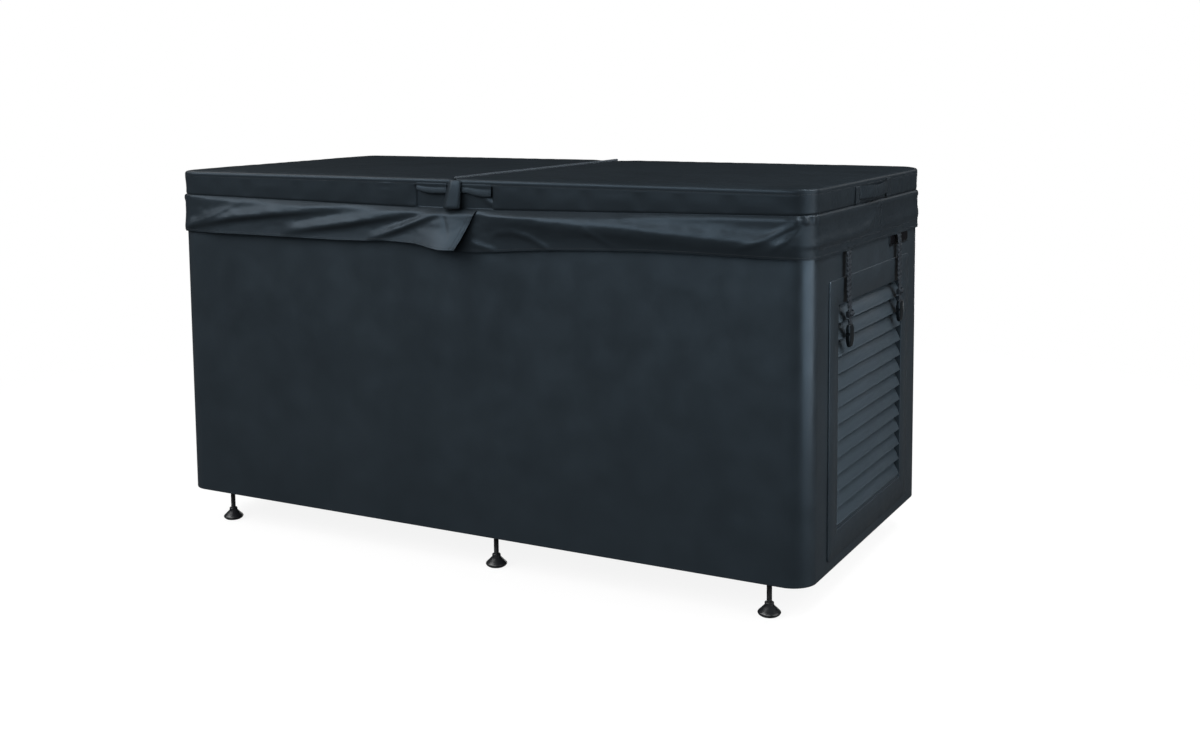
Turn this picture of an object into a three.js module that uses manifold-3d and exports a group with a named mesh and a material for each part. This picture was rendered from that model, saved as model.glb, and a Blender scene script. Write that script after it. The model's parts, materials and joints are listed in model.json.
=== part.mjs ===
// Cold plunge tub with a fold-over padded cover and a chiller bay behind a louvred end.
// Millimetres, +Z up, floor at z = 0. +X is the louvred end, -Y is the front.
import * as THREE from 'three';
import { mergeVertices } from 'three/addons/utils/BufferGeometryUtils.js';
import Module from 'manifold-3d';

const wasm = await Module();
wasm.setup();

// Cabinet
const LENGTH = 1700;
const WIDTH = 806;
const CABINET_HEIGHT = 755;
const CORNER = 55;
const SKIN = 6;
const GAP = 0.3;
const OVERCUT = 1;
const CORNER_STEPS = 6;

// Feet, base pan and base frame
const FOOT_HEIGHT = 84;
const FOOT_END_INSET = 103;
const FOOT_SIDE_INSET = 52;
const MIDDLE_FOOT_X = 65;
const PAD_RADIUS = 25;
const PAD_WALL = 7;
const PAD_SHOULDER_RADIUS = 21;
const PAD_SHOULDER = 13;
const PAD_NECK_RADIUS = 12.5;
const PAD_HEIGHT = 22;
const COLLAR_RADIUS = 10;
const COLLAR_HEIGHT = 8;
const STUD_RADIUS = 6;
const STUD_CLEARANCE = 0.4;
const STUD_IN_RAIL = 30;
const STUD_HOLE_SPARE = 4;
const FOOT_STEPS = 12;
const PAN_THICKNESS = 6;
const RAIL = 40;

// Basin, insulation and bulkhead
const DECK = 8;
const DECK_INSET = 1;
const TUB_WALL = 6;
const FLOOR_FOAM = 47;
const TUB_CORNER = 50;
const TUB_FLOOR_ROUND = 40;
const TUB_END_MARGIN = 60;
const TUB_SIDE_MARGIN = 73;
const BAY_LENGTH = 372;
const BULKHEAD = 8;
const BULKHEAD_FOAM = 34;
const FOAM_FIT = 0.5;

// Louvred vent in the right end
const VENT_BOTTOM = 26;
const VENT_TOP_MARGIN = 130;
const VENT_WIDTH = 572;
const VENT_BORDER = 56;
const VENT_CORNER = 8;
const VENT_FLANGE = 3;
const SLEEVE_WALL = 8;
const SLEEVE_DEPTH = 30;
const SLEEVE_FIT = 1;
const SLAT_COUNT = 13;
const SLAT_OVERLAP = 1.4;
const SLAT_DEPTH = 24;
const SLAT_THICKNESS = 2.4;
const SLAT_BULGE = 4;
const SILL = 12;

// Control panel in the right end
const PANEL_CENTRE_Y = 206;
const PANEL_WIDTH = 147;
const PANEL_HEIGHT = 64;
const PANEL_TOP_MARGIN = 36.5;
const PANEL_CORNER = 8;
const PANEL_FLANGE = 2.5;
const PANEL_RIM = 4;
const GLASS_THICKNESS = 1.2;
const HOUSING_MARGIN = 8;
const HOUSING_DEPTH = 34;

// Padded cover
const COVER_OVERHANG = 3;
const PAD_THICKNESS = 70;
const PAD_PEAK = 2;
const PAD_CROWN = 1.5;
const PAD_SHOULDER_RISE = 0.9;
const PAD_SHOULDER_INSET = 70;
const PAD_CROWN_INSET = 200;
const PAD_FOOT_INSET = 120;
const PAD_EDGE_ROUND = 6;
const PAD_FOOT_ROUND = 4;
const PAD_DRAW_IN = 3;
const FOLD_GAP = 4;
const WELT_RADIUS = 3.7;
const NOTCH_LENGTH = 104;
const NOTCH_DEPTH = 16;
const NOTCH_LIP = 16;
const BAND_HEIGHT = 25;
const BAND_THICKNESS = 3;
const BAND_BOW = 4;
const BAND_SAG = 8;
const LOOP_TOP_WIDTH = 28;
const LOOP_BOTTOM_WIDTH = 40;
const LOOP_TOP_DEPTH = 6;
const LOOP_BOTTOM_DEPTH = 17;
const LOOP_HEIGHT = 67;
const LOOP_LEAN = 10;
const LOOP_TOP_DROP = 1;
const LOOP_ROUNDING = 0.35;

// Skirts
const SKIRT_THICKNESS = 2;
const SKIRT_FLARE = 5;
const LAPPED_FLARE = 1;
const SKIRT_FOLD_DEPTH = 7;
const END_FOLD_DEPTH = 4.2;
const ROLL_START = 0.15;
const ROLL_FALL = 0.4;
const ROLL_SPREAD = 0.25;
const SEAM_DROP_AT_FOLD = 69;
const LEFT_SEAM_DROP = 59;
const RIGHT_SEAM_DROP = 54;
const HEM_DROP = 164;
const LEFT_HEM_DROP = 152;
const RIGHT_HEM_DROP = 145;
const HEM_RISE_START = 30;
const HEM_RISE_LENGTH = 430;
const LAP_TOP = 62;
const LAP_BOTTOM = 26;
const LAP_DROP = 8;
const LAP_RUN = 90;
const LAP_PROUD = 5;
const SKIRT_FRONT_STEPS = 20;
const SKIRT_END_STEPS = 14;
const SKIRT_BACK_STEPS = 14;
const SKIRT_DOWN_STEPS = 5;
const GATHER_FOLDS = 5;

// Handles, straps and buckles on the cover's ends
const HANDLE_SPAN = 192;
const HANDLE_TAB_WIDTH = 30;
const HANDLE_TAB_THICKNESS = 2.5;
const HANDLE_TAB_CLEARANCE = 3;
const HANDLE_BAND_HEIGHT = 27;
const HANDLE_BAND_DROP = 27;
const HANDLE_BOW = 11;
const HANDLE_FULLNESS = 0.7;
const STRAP_SPACING = 370;
const STRAP_WIDTH = 25;
const STRAP_THICKNESS = 2;
const STRAP_LENGTH = 158;
const BUCKLE_WIDTH = 33;
const BUCKLE_HEIGHT = 50;
const BUCKLE_DEPTH = 11;
const BUCKLE_ROUND = 6;
const BUCKLE_EDGE = 2;

// Machine bay
const CONDENSER_DEPTH = 26;
const CONDENSER_WIDTH = 440;
const CONDENSER_HEIGHT = 470;
const CONDENSER_FINS = 16;
const FIN_DEPTH = 8;
const CONDENSER_WALL_SPACE = 14;
const SHROUD_PLATE = 8;
const SHROUD_SIDE_MARGIN = 5;
const SHROUD_HOLE_RADIUS = 175;
const SHROUD_POST = 16;
const SHROUD_ARM = 10;
const SHROUD_TO_CONDENSER = 16;
const FAN_TIP_CLEARANCE = 7;
const FAN_BLADES = 5;
const FAN_BLADE_CHORD = 76;
const FAN_BLADE_THICKNESS = 3;
const FAN_BLADE_PITCH = 0.28;
const FAN_BLADE_ROOT = 26;
const FAN_HUB_RADIUS = 38;
const FAN_HUB_LENGTH = 26;
const FAN_MOTOR_RADIUS = 40;
const FAN_MOTOR_LENGTH = 44;
const BAY_ROW_OFFSET = 97;
const COMPRESSOR_Y = -235;
const COMPRESSOR_RADIUS = 75;
const COMPRESSOR_HEIGHT = 240;
const COMPRESSOR_BASE = 8;
const COMPRESSOR_BODY_RADIUS = 70;
const COMPRESSOR_DOME = 50;
const COMPRESSOR_CAP_RADIUS = 52;
const COMPRESSOR_CAP = 12;
const EXCHANGER_Y = -75;
const EXCHANGER_RADIUS = 50;
const EXCHANGER_HEIGHT = 320;
const EXCHANGER_COLLAR = 18;
const EXCHANGER_BODY_RADIUS = 44;
const PORT_RADIUS = 15;
const PORT_LENGTH = 16;
const PUMP_Y = 70;
const PUMP_AXIS_HEIGHT = 75;
const PUMP_MOTOR_RADIUS = 46;
const PUMP_MOTOR_LENGTH = 100;
const PUMP_HEAD_RADIUS = 60;
const PUMP_HEAD_LENGTH = 40;
const PUMP_FOOT_WIDTH = 80;
const PUMP_FOOT_INSET = 10;
const FILTER_Y = 245;
const FILTER_RADIUS = 68;
const FILTER_HEIGHT = 310;
const FILTER_LID_OVERHANG = 8;
const FILTER_LID_HEIGHT = 26;
const FILTER_FOOT_CHAMFER = 8;
const FILTER_KNOB_RADIUS = 27;
const FILTER_KNOB_HEIGHT = 21;
const HOSE_RADIUS = 15;
const HOSE_BEND = 45;
const FITTING_RADIUS = 16;
const FITTING_FLANGE_RADIUS = 34;
const FITTING_FLANGE = 7;
const FITTING_CLEARANCE = 0.5;
const FITTING_PAST_BULKHEAD = 20;
const HOSE_RISE = 90;
const HOSE_STEPS = 10;

// Drain and power inlet on the back
const DRAIN_X = -600;
const DRAIN_ABOVE_FLOOR = 66;
const DRAIN_FLANGE_RADIUS = 30;
const DRAIN_FLANGE = 3;
const KNOB_RADIUS = 22;
const KNOB_BASE = 5;
const KNOB_GRIP_WIDTH = 9;
const KNOB_GRIP_HEIGHT = 9;
const INLET_FROM_END = 150;
const INLET_RISE = 116;
const INLET_WIDTH = 62;
const INLET_HEIGHT = 50;
const INLET_CORNER = 6;
const INLET_FLANGE = 3;
const INLET_BODY_MARGIN = 8;
const INLET_BODY_DEPTH = 28;
const SOCKET_WIDTH = 30;
const SOCKET_HEIGHT = 22;
const SOCKET_DEPTH = 16;

// Levels and planes worked out from the sizes above
const HALF_LENGTH = LENGTH / 2;
const HALF_WIDTH = WIDTH / 2;
const BOTTOM = FOOT_HEIGHT;
const RIM = BOTTOM + CABINET_HEIGHT;
const PAN_TOP = BOTTOM + PAN_THICKNESS;
const FLOOR_SEAT = PAN_TOP + GAP;
const RAIL_TOP = FLOOR_SEAT + RAIL;
const SHELL_TOP = RIM - DECK - GAP;
const TUB_FLOOR = RAIL_TOP + GAP + FLOOR_FOAM + FOAM_FIT + TUB_WALL;
const TUB_LEFT = -HALF_LENGTH + TUB_END_MARGIN;
const BULKHEAD_RIGHT = HALF_LENGTH - BAY_LENGTH;
const BULKHEAD_LEFT = BULKHEAD_RIGHT - BULKHEAD;
const TUB_RIGHT = BULKHEAD_LEFT - GAP - BULKHEAD_FOAM - TUB_WALL;
const TUB_HALF_WIDTH = HALF_WIDTH - TUB_SIDE_MARGIN;
const END_FACE = HALF_LENGTH + GAP;
const BACK_FACE = HALF_WIDTH + GAP;
const PAD_BASE = RIM + GAP;
const PAD_TOP = PAD_BASE + PAD_THICKNESS;
const FOLD_AXIS_Z = PAD_TOP + PAD_PEAK;
const SKIRT_SEAT = COVER_OVERHANG + GAP;
const BAY_ROW_X = BULKHEAD_RIGHT + BAY_ROW_OFFSET;
const EXCHANGER_PORT_TOP = FLOOR_SEAT + EXCHANGER_HEIGHT + PORT_LENGTH;
const PUMP_Y0 = PUMP_Y - (PUMP_MOTOR_LENGTH + PUMP_HEAD_LENGTH) / 2;
const PUMP_HEAD_Y = PUMP_Y0 + PUMP_MOTOR_LENGTH;
const PUMP_Z = FLOOR_SEAT + PUMP_AXIS_HEIGHT;
const PUMP_PORT_TOP = PUMP_Z + PUMP_HEAD_RADIUS + PORT_LENGTH;
const FRONT = 'front';
const END = 'end';
const BACK = 'back';

const FINISHES = {
  cabinet: { color: 0x2b3137, roughness: 0.62, metalness: 0 },
  vinyl: { color: 0x262b31, roughness: 0.48, metalness: 0 },
  blackPlastic: { color: 0x131517, roughness: 0.45, metalness: 0 },
  blackGlass: { color: 0x060708, roughness: 0.08, metalness: 0 },
  webbing: { color: 0x22262b, roughness: 0.8, metalness: 0 },
  rubber: { color: 0x17191b, roughness: 0.75, metalness: 0 },
  acrylic: { color: 0xe6e9ea, roughness: 0.15, metalness: 0 },
  foam: { color: 0xcfc39a, roughness: 0.95, metalness: 0 },
  steel: { color: 0x8d9296, roughness: 0.4, metalness: 1 },
  castBlack: { color: 0x1a1b1d, roughness: 0.5, metalness: 0.2 },
  greyPlastic: { color: 0x6d7276, roughness: 0.5, metalness: 0 },
};

const tub = new THREE.Group();

function add(name, geometry, finish) {
  const mesh = new THREE.Mesh(geometry, new THREE.MeshStandardMaterial(FINISHES[finish]));
  mesh.name = name;
  tub.add(mesh);
}

// Joining and cutting

function signedVolume(points, index) {
  const a = new THREE.Vector3();
  const b = new THREE.Vector3();
  const c = new THREE.Vector3();
  let sum = 0;
  for (let i = 0; i < index.length; i += 3) {
    a.fromBufferAttribute(points, index[i]);
    b.fromBufferAttribute(points, index[i + 1]);
    c.fromBufferAttribute(points, index[i + 2]);
    sum += a.dot(b.cross(c));
  }
  return sum;
}

// Shared corners merged, flat triangles dropped and faces turned outwards.
function closed(geometry) {
  const bare = geometry.clone();
  bare.deleteAttribute('normal');
  bare.deleteAttribute('uv');
  const merged = mergeVertices(bare, 1e-3);
  const kept = [];
  for (let i = 0; i < merged.index.count; i += 3) {
    const corners = [merged.index.getX(i), merged.index.getX(i + 1), merged.index.getX(i + 2)];
    if (new Set(corners).size === 3) kept.push(...corners);
  }
  if (signedVolume(merged.attributes.position, kept) < 0) kept.reverse();
  merged.setIndex(kept);
  return merged;
}

function solid(geometry) {
  const mesh = closed(geometry);
  return new wasm.Manifold(new wasm.Mesh({
    numProp: 3,
    vertProperties: new Float32Array(mesh.attributes.position.array),
    triVerts: new Uint32Array(mesh.index.array),
  }));
}

function geometryOf(body) {
  const mesh = body.getMesh();
  const geometry = new THREE.BufferGeometry();
  geometry.setAttribute('position', new THREE.BufferAttribute(mesh.vertProperties, 3));
  geometry.setIndex(new THREE.BufferAttribute(mesh.triVerts, 1));
  return geometry;
}

function combine(added, removed = []) {
  let body = solid(added[0]);
  for (const piece of added.slice(1)) body = body.add(solid(piece));
  for (const piece of removed) body = body.subtract(solid(piece));
  return geometryOf(body);
}

// Plain shapes

const X_AXIS = new THREE.Vector3(1, 0, 0);
const Y_AXIS = new THREE.Vector3(0, 1, 0);
const Z_AXIS = new THREE.Vector3(0, 0, 1);
const ALONG_X = new THREE.Matrix4().makeBasis(Y_AXIS, Z_AXIS, X_AXIS);
const ALONG_Y = new THREE.Matrix4().makeBasis(X_AXIS, Z_AXIS, Y_AXIS.clone().negate());

function box(x0, x1, y0, y1, z0, z1) {
  const geometry = new THREE.BoxGeometry(x1 - x0, y1 - y0, z1 - z0);
  return geometry.translate((x0 + x1) / 2, (y0 + y1) / 2, (z0 + z1) / 2);
}

function roundedRectangle(x0, x1, y0, y1, radius) {
  const shape = new THREE.Shape();
  shape.moveTo(x0 + radius, y0);
  shape.lineTo(x1 - radius, y0);
  shape.absarc(x1 - radius, y0 + radius, radius, -Math.PI / 2, 0);
  shape.lineTo(x1, y1 - radius);
  shape.absarc(x1 - radius, y1 - radius, radius, 0, Math.PI / 2);
  shape.lineTo(x0 + radius, y1);
  shape.absarc(x0 + radius, y1 - radius, radius, Math.PI / 2, Math.PI);
  shape.lineTo(x0, y0 + radius);
  shape.absarc(x0 + radius, y0 + radius, radius, Math.PI, Math.PI * 1.5);
  return shape;
}

function cabinetOutline(inset) {
  const x = HALF_LENGTH - inset;
  const y = HALF_WIDTH - inset;
  return roundedRectangle(-x, x, -y, y, CORNER - inset);
}

function extruded(shape, depth, curveSegments) {
  return new THREE.ExtrudeGeometry(shape, { depth, bevelEnabled: false, curveSegments });
}

// An arc of a shape gets two steps for each of its curve segments.
function slab(shape, z0, z1) {
  return extruded(shape, z1 - z0, CORNER_STEPS / 2).translate(0, 0, z0);
}

// A plate whose outline is drawn in (y, z) and which runs along X.
function plateAlongX(shape, x0, x1, curveSegments = 2) {
  return extruded(shape, x1 - x0, curveSegments).translate(0, 0, x0).applyMatrix4(ALONG_X);
}

// A plate whose outline is drawn in (x, z) and which runs along Y.
function plateAlongY(shape, y0, y1, curveSegments = 2) {
  return extruded(shape, y1 - y0, curveSegments).translate(0, 0, -y1).applyMatrix4(ALONG_Y);
}

function rodAlongZ(x, y, z0, z1, radius, steps = 16) {
  const geometry = new THREE.CylinderGeometry(radius, radius, z1 - z0, steps);
  return geometry.rotateX(Math.PI / 2).translate(x, y, (z0 + z1) / 2);
}

function rodAlongX(x0, x1, y, z, radius, steps = 16) {
  const geometry = new THREE.CylinderGeometry(radius, radius, x1 - x0, steps);
  return geometry.rotateZ(Math.PI / 2).translate((x0 + x1) / 2, y, z);
}

function rodAlongY(x, y0, y1, z, radius, steps = 16) {
  return new THREE.CylinderGeometry(radius, radius, y1 - y0, steps).translate(x, (y0 + y1) / 2, z);
}

// A turned piece standing on z0: its profile is a list of [radius, height].
function turned(profile, x, y, z0, steps) {
  const points = profile.map(([radius, height]) => new THREE.Vector2(radius, height));
  const geometry = new THREE.LatheGeometry(points, steps).rotateX(Math.PI / 2);
  return closed(geometry.translate(x, y, z0));
}

// A box of nx by ny by nz cells whose corners go where place(u, v, w) puts them.
function shapedBox(nx, ny, nz, place) {
  const geometry = new THREE.BoxGeometry(1, 1, 1, nx, ny, nz);
  const points = geometry.attributes.position;
  for (let i = 0; i < points.count; i += 1) {
    const spot = place(points.getX(i) + 0.5, points.getY(i) + 0.5, points.getZ(i) + 0.5);
    points.setXYZ(i, spot.x, spot.y, spot.z);
  }
  return closed(geometry);
}

// Rings of points, all alike in count, joined into one closed body with flat ends.
function stacked(rings) {
  const count = rings[0].length;
  const positions = [];
  const index = [];
  for (const ring of rings) {
    for (const point of ring) positions.push(point.x, point.y, point.z);
  }
  for (let level = 0; level + 1 < rings.length; level += 1) {
    for (let i = 0; i < count; i += 1) {
      const next = (i + 1) % count;
      const low = level * count;
      const high = low + count;
      index.push(low + i, low + next, high + next, low + i, high + next, high + i);
    }
  }
  const lastRing = (rings.length - 1) * count;
  for (const [ring, start, turn] of [[rings[0], 0, -1], [rings[rings.length - 1], lastRing, 1]]) {
    const middle = ring.reduce((sum, point) => sum.add(point), new THREE.Vector3()).divideScalar(count);
    const centre = positions.length / 3;
    positions.push(middle.x, middle.y, middle.z);
    for (let i = 0; i < count; i += 1) {
      const a = start + i;
      const b = start + ((i + 1) % count);
      index.push(...(turn > 0 ? [a, b, centre] : [b, a, centre]));
    }
  }
  const geometry = new THREE.BufferGeometry();
  geometry.setAttribute('position', new THREE.Float32BufferAttribute(positions, 3));
  geometry.setIndex(index);
  return closed(geometry);
}

function smooth(low, high, value) {
  return THREE.MathUtils.smoothstep(value, low, high);
}

// Feet, base pan, base frame and cabinet shell

const FOOT_XS = [-HALF_LENGTH + FOOT_END_INSET, MIDDLE_FOOT_X, HALF_LENGTH - FOOT_END_INSET];
const FOOT_YS = [-HALF_WIDTH + FOOT_SIDE_INSET, HALF_WIDTH - FOOT_SIDE_INSET];
const FOOT_SPOTS = FOOT_YS.flatMap((y) => FOOT_XS.map((x) => [x, y]));

function footGeometry(x, y) {
  const collarTop = PAD_HEIGHT + COLLAR_HEIGHT;
  const profile = [
    [0, 0],
    [PAD_RADIUS, 0],
    [PAD_RADIUS, PAD_WALL],
    [PAD_SHOULDER_RADIUS, PAD_SHOULDER],
    [PAD_NECK_RADIUS, PAD_HEIGHT],
    [COLLAR_RADIUS, PAD_HEIGHT],
    [COLLAR_RADIUS, collarTop],
    [STUD_RADIUS, collarTop],
    [STUD_RADIUS, FLOOR_SEAT + STUD_IN_RAIL],
    [0, FLOOR_SEAT + STUD_IN_RAIL],
  ];
  return turned(profile, x, y, 0, FOOT_STEPS);
}

function studHole([x, y], top) {
  const radius = STUD_RADIUS + STUD_CLEARANCE;
  return rodAlongZ(x, y, BOTTOM - OVERCUT, top, radius, FOOT_STEPS);
}

function basePanGeometry() {
  const plate = slab(cabinetOutline(SKIN + GAP), BOTTOM, PAN_TOP);
  return combine([plate], FOOT_SPOTS.map((spot) => studHole(spot, PAN_TOP + OVERCUT)));
}

function baseFrameGeometry() {
  const half = RAIL / 2;
  const endX = FOOT_XS[2] + RAIL;
  const sideRails = FOOT_YS.map((y) => box(-endX, endX, y - half, y + half, FLOOR_SEAT, RAIL_TOP));
  const crossRails = FOOT_XS.map((x) => (
    box(x - half, x + half, FOOT_YS[0], FOOT_YS[1], FLOOR_SEAT, RAIL_TOP)
  ));
  const holeTop = FLOOR_SEAT + STUD_IN_RAIL + STUD_HOLE_SPARE;
  return combine([...sideRails, ...crossRails], FOOT_SPOTS.map((spot) => studHole(spot, holeTop)));
}

const VENT_Z0 = BOTTOM + VENT_BOTTOM;
const VENT_Z1 = RIM - VENT_TOP_MARGIN;
const VENT_Y = VENT_WIDTH / 2;
const OPENING_Y = VENT_Y - VENT_BORDER;
const OPENING_Z0 = VENT_Z0 + VENT_BORDER;
const OPENING_Z1 = VENT_Z1 - VENT_BORDER;
const PANEL_Z1 = RIM - PANEL_TOP_MARGIN;
const PANEL_Z0 = PANEL_Z1 - PANEL_HEIGHT;
const PANEL_Y0 = PANEL_CENTRE_Y - PANEL_WIDTH / 2;
const PANEL_Y1 = PANEL_CENTRE_Y + PANEL_WIDTH / 2;
const DRAIN_Z = TUB_FLOOR + DRAIN_ABOVE_FLOOR;
const INLET_X = HALF_LENGTH - INLET_FROM_END;
const INLET_Z = BOTTOM + INLET_RISE;

function sleeveOutline(spare) {
  const y = OPENING_Y + SLEEVE_WALL + spare;
  const z0 = OPENING_Z0 - SLEEVE_WALL - spare;
  const z1 = OPENING_Z1 + SLEEVE_WALL + spare;
  return roundedRectangle(-y, y, z0, z1, VENT_CORNER);
}

function housingOutline(spare) {
  const inset = HOUSING_MARGIN - spare;
  return roundedRectangle(
    PANEL_Y0 + inset, PANEL_Y1 - inset, PANEL_Z0 + inset, PANEL_Z1 - inset, PANEL_CORNER / 2);
}

function inletOutline(inset, radius) {
  const x = INLET_WIDTH / 2 - inset;
  const z = INLET_HEIGHT / 2 - inset;
  return roundedRectangle(INLET_X - x, INLET_X + x, INLET_Z - z, INLET_Z + z, radius);
}

function cabinetShellGeometry() {
  const wall = cabinetOutline(0);
  wall.holes.push(cabinetOutline(SKIN));
  const inside = HALF_LENGTH - SKIN - OVERCUT;
  const outside = HALF_LENGTH + OVERCUT;
  const backInside = HALF_WIDTH - SKIN - OVERCUT;
  const backOutside = HALF_WIDTH + OVERCUT;
  const cuts = [
    plateAlongX(sleeveOutline(SLEEVE_FIT), inside, outside),
    plateAlongX(housingOutline(SLEEVE_FIT), inside, outside),
    rodAlongY(DRAIN_X, backInside, backOutside, DRAIN_Z, FITTING_RADIUS + FITTING_CLEARANCE),
    plateAlongY(inletOutline(INLET_BODY_MARGIN - SLEEVE_FIT, INLET_CORNER), backInside, backOutside),
  ];
  return combine([slab(wall, BOTTOM, SHELL_TOP)], cuts);
}

add('cabinet_shell', cabinetShellGeometry(), 'cabinet');
add('base_pan', basePanGeometry(), 'blackPlastic');
add('base_frame', baseFrameGeometry(), 'steel');
FOOT_SPOTS.forEach(([x, y], i) => add(`foot_${i + 1}`, footGeometry(x, y), 'rubber'));

// Basin, its fittings, insulation and bulkhead

// The tub's body grown outwards by a wall, with a rounded foot and an open run past the top.
function tubBody(grow, top) {
  const outline = roundedRectangle(
    TUB_LEFT - grow, TUB_RIGHT + grow, -TUB_HALF_WIDTH - grow, TUB_HALF_WIDTH + grow, TUB_CORNER + grow);
  const round = TUB_FLOOR_ROUND + grow;
  const start = TUB_FLOOR - grow + round;
  const geometry = new THREE.ExtrudeGeometry(outline, {
    depth: top - start,
    bevelThickness: round,
    bevelSize: round,
    bevelOffset: -round,
    bevelSegments: 3,
    curveSegments: CORNER_STEPS / 2,
  });
  return geometry.translate(0, 0, start);
}

const STRAINER_Y = PUMP_HEAD_Y + PUMP_HEAD_LENGTH / 2;
const STRAINER_Z = PUMP_PORT_TOP + HOSE_RISE;
const JET_Y = EXCHANGER_Y;
const JET_Z = EXCHANGER_PORT_TOP + HOSE_RISE;
const FITTING_END = BULKHEAD_RIGHT + FITTING_PAST_BULKHEAD;
const FITTING_HOLE = FITTING_RADIUS + FITTING_CLEARANCE;

function bayHoles(x0, x1) {
  const spots = [[STRAINER_Y, STRAINER_Z], [JET_Y, JET_Z]];
  return spots.map(([y, z]) => rodAlongX(x0, x1, y, z, FITTING_HOLE));
}

function drainHole() {
  return rodAlongY(DRAIN_X, TUB_HALF_WIDTH - OVERCUT, HALF_WIDTH + OVERCUT, DRAIN_Z, FITTING_HOLE);
}

function basinGeometry() {
  const deckTop = slab(cabinetOutline(DECK_INSET), RIM - DECK, RIM);
  const wall = solid(tubBody(TUB_WALL, RIM + TUB_FLOOR_ROUND));
  const below = solid(box(-LENGTH, LENGTH, -WIDTH, WIDTH, 0, RIM));
  const holes = [...bayHoles(TUB_RIGHT - OVERCUT, BULKHEAD_LEFT), drainHole()];
  let body = wall.intersect(below).add(solid(deckTop));
  body = body.subtract(solid(tubBody(0, RIM + WIDTH)));
  for (const hole of holes) body = body.subtract(solid(hole));
  return geometryOf(body);
}

function insulationGeometry() {
  const inset = SKIN + GAP;
  const outline = roundedRectangle(
    -HALF_LENGTH + inset, BULKHEAD_LEFT - GAP, -HALF_WIDTH + inset, HALF_WIDTH - inset, CORNER - inset);
  const block = slab(outline, RAIL_TOP + GAP, RIM - DECK - GAP);
  const cuts = [
    tubBody(TUB_WALL + FOAM_FIT, RIM + WIDTH),
    ...bayHoles(TUB_RIGHT - OVERCUT, BULKHEAD_LEFT + OVERCUT),
    drainHole(),
  ];
  return combine([block], cuts);
}

function bulkheadGeometry() {
  const y = HALF_WIDTH - SKIN - GAP;
  const sheet = box(BULKHEAD_LEFT, BULKHEAD_RIGHT, -y, y, RAIL_TOP + GAP, RIM - DECK - GAP);
  return combine([sheet], bayHoles(BULKHEAD_LEFT - OVERCUT, BULKHEAD_RIGHT + OVERCUT));
}

// A flange inside the tub with a barrel through to the machine bay.
function wallFitting(y, z, flangeSteps) {
  const face = TUB_RIGHT - GAP;
  const flange = rodAlongX(face - FITTING_FLANGE, face, y, z, FITTING_FLANGE_RADIUS, flangeSteps);
  const barrel = rodAlongX(face - FITTING_FLANGE / 2, FITTING_END, y, z, FITTING_RADIUS);
  return combine([flange, barrel]);
}

add('basin', basinGeometry(), 'acrylic');
add('basin_insulation', insulationGeometry(), 'foam');
add('bulkhead', bulkheadGeometry(), 'greyPlastic');
add('suction_strainer', wallFitting(STRAINER_Y, STRAINER_Z, 24), 'greyPlastic');
add('return_jet', wallFitting(JET_Y, JET_Z, 16), 'greyPlastic');

// Louvred vent

const SLAT_PITCH = (OPENING_Z1 - OPENING_Z0 - SILL) / SLAT_COUNT;

function ventFrameGeometry() {
  const back = END_FACE - SLEEVE_DEPTH;
  const front = END_FACE + VENT_FLANGE;
  const outline = roundedRectangle(-VENT_Y, VENT_Y, VENT_Z0, VENT_Z1, VENT_CORNER);
  const flange = plateAlongX(outline, END_FACE, front);
  const sleeve = plateAlongX(sleeveOutline(0), back, END_FACE + OVERCUT);
  const opening = box(
    back - OVERCUT, front + OVERCUT, -OPENING_Y, OPENING_Y, OPENING_Z0, OPENING_Z1);
  const sillTop = OPENING_Z0 + SILL - SLAT_OVERLAP - 2 * GAP;
  const sillY = OPENING_Y + OVERCUT;
  const sill = box(back, END_FACE, -sillY, sillY, OPENING_Z0 - OVERCUT, sillTop);
  const frame = solid(flange).add(solid(sleeve)).subtract(solid(opening)).add(solid(sill));
  return geometryOf(frame);
}

// One blade: set back at its top, forward at its foot, and slightly hollow behind.
function slatGeometry(row) {
  const height = SLAT_PITCH + SLAT_OVERLAP;
  const middle = OPENING_Z1 - GAP - height / 2 - row * SLAT_PITCH;
  const topZ = middle + height / 2;
  const footZ = middle - height / 2;
  const footX = END_FACE + VENT_FLANGE / 2;
  const topX = footX - SLAT_DEPTH;
  const bendX = (topX + footX) / 2 + SLAT_BULGE;
  const bendZ = middle + SLAT_BULGE;
  const shape = new THREE.Shape();
  shape.moveTo(topX, topZ);
  shape.quadraticCurveTo(bendX, bendZ, footX, footZ);
  shape.lineTo(footX - SLAT_THICKNESS, footZ);
  shape.quadraticCurveTo(bendX - SLAT_THICKNESS, bendZ, topX - SLAT_THICKNESS, topZ);
  return plateAlongY(shape, -OPENING_Y + GAP, OPENING_Y - GAP, 5);
}

add('vent_frame', ventFrameGeometry(), 'cabinet');
for (let row = 0; row < SLAT_COUNT; row += 1) {
  add(`vent_slat_${String(row + 1).padStart(2, '0')}`, slatGeometry(row), 'cabinet');
}

// Control panel

function panelOutline(inset, radius) {
  return roundedRectangle(PANEL_Y0 + inset, PANEL_Y1 - inset, PANEL_Z0 + inset, PANEL_Z1 - inset, radius);
}

const PANEL_FRONT = END_FACE + PANEL_FLANGE;
const GLASS_BACK = PANEL_FRONT - GLASS_THICKNESS;

function controlHousingGeometry() {
  const bezel = plateAlongX(panelOutline(0, PANEL_CORNER), END_FACE, PANEL_FRONT);
  const boxBehind = plateAlongX(housingOutline(0), END_FACE - HOUSING_DEPTH, END_FACE + OVERCUT);
  const pocketOutline = panelOutline(PANEL_RIM, PANEL_CORNER - PANEL_RIM);
  const pocket = plateAlongX(pocketOutline, GLASS_BACK - GAP, PANEL_FRONT + OVERCUT);
  return combine([bezel, boxBehind], [pocket]);
}

function controlGlassGeometry() {
  const outline = panelOutline(PANEL_RIM + GAP, PANEL_CORNER - PANEL_RIM - GAP);
  return plateAlongX(outline, GLASS_BACK, PANEL_FRONT);
}

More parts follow.
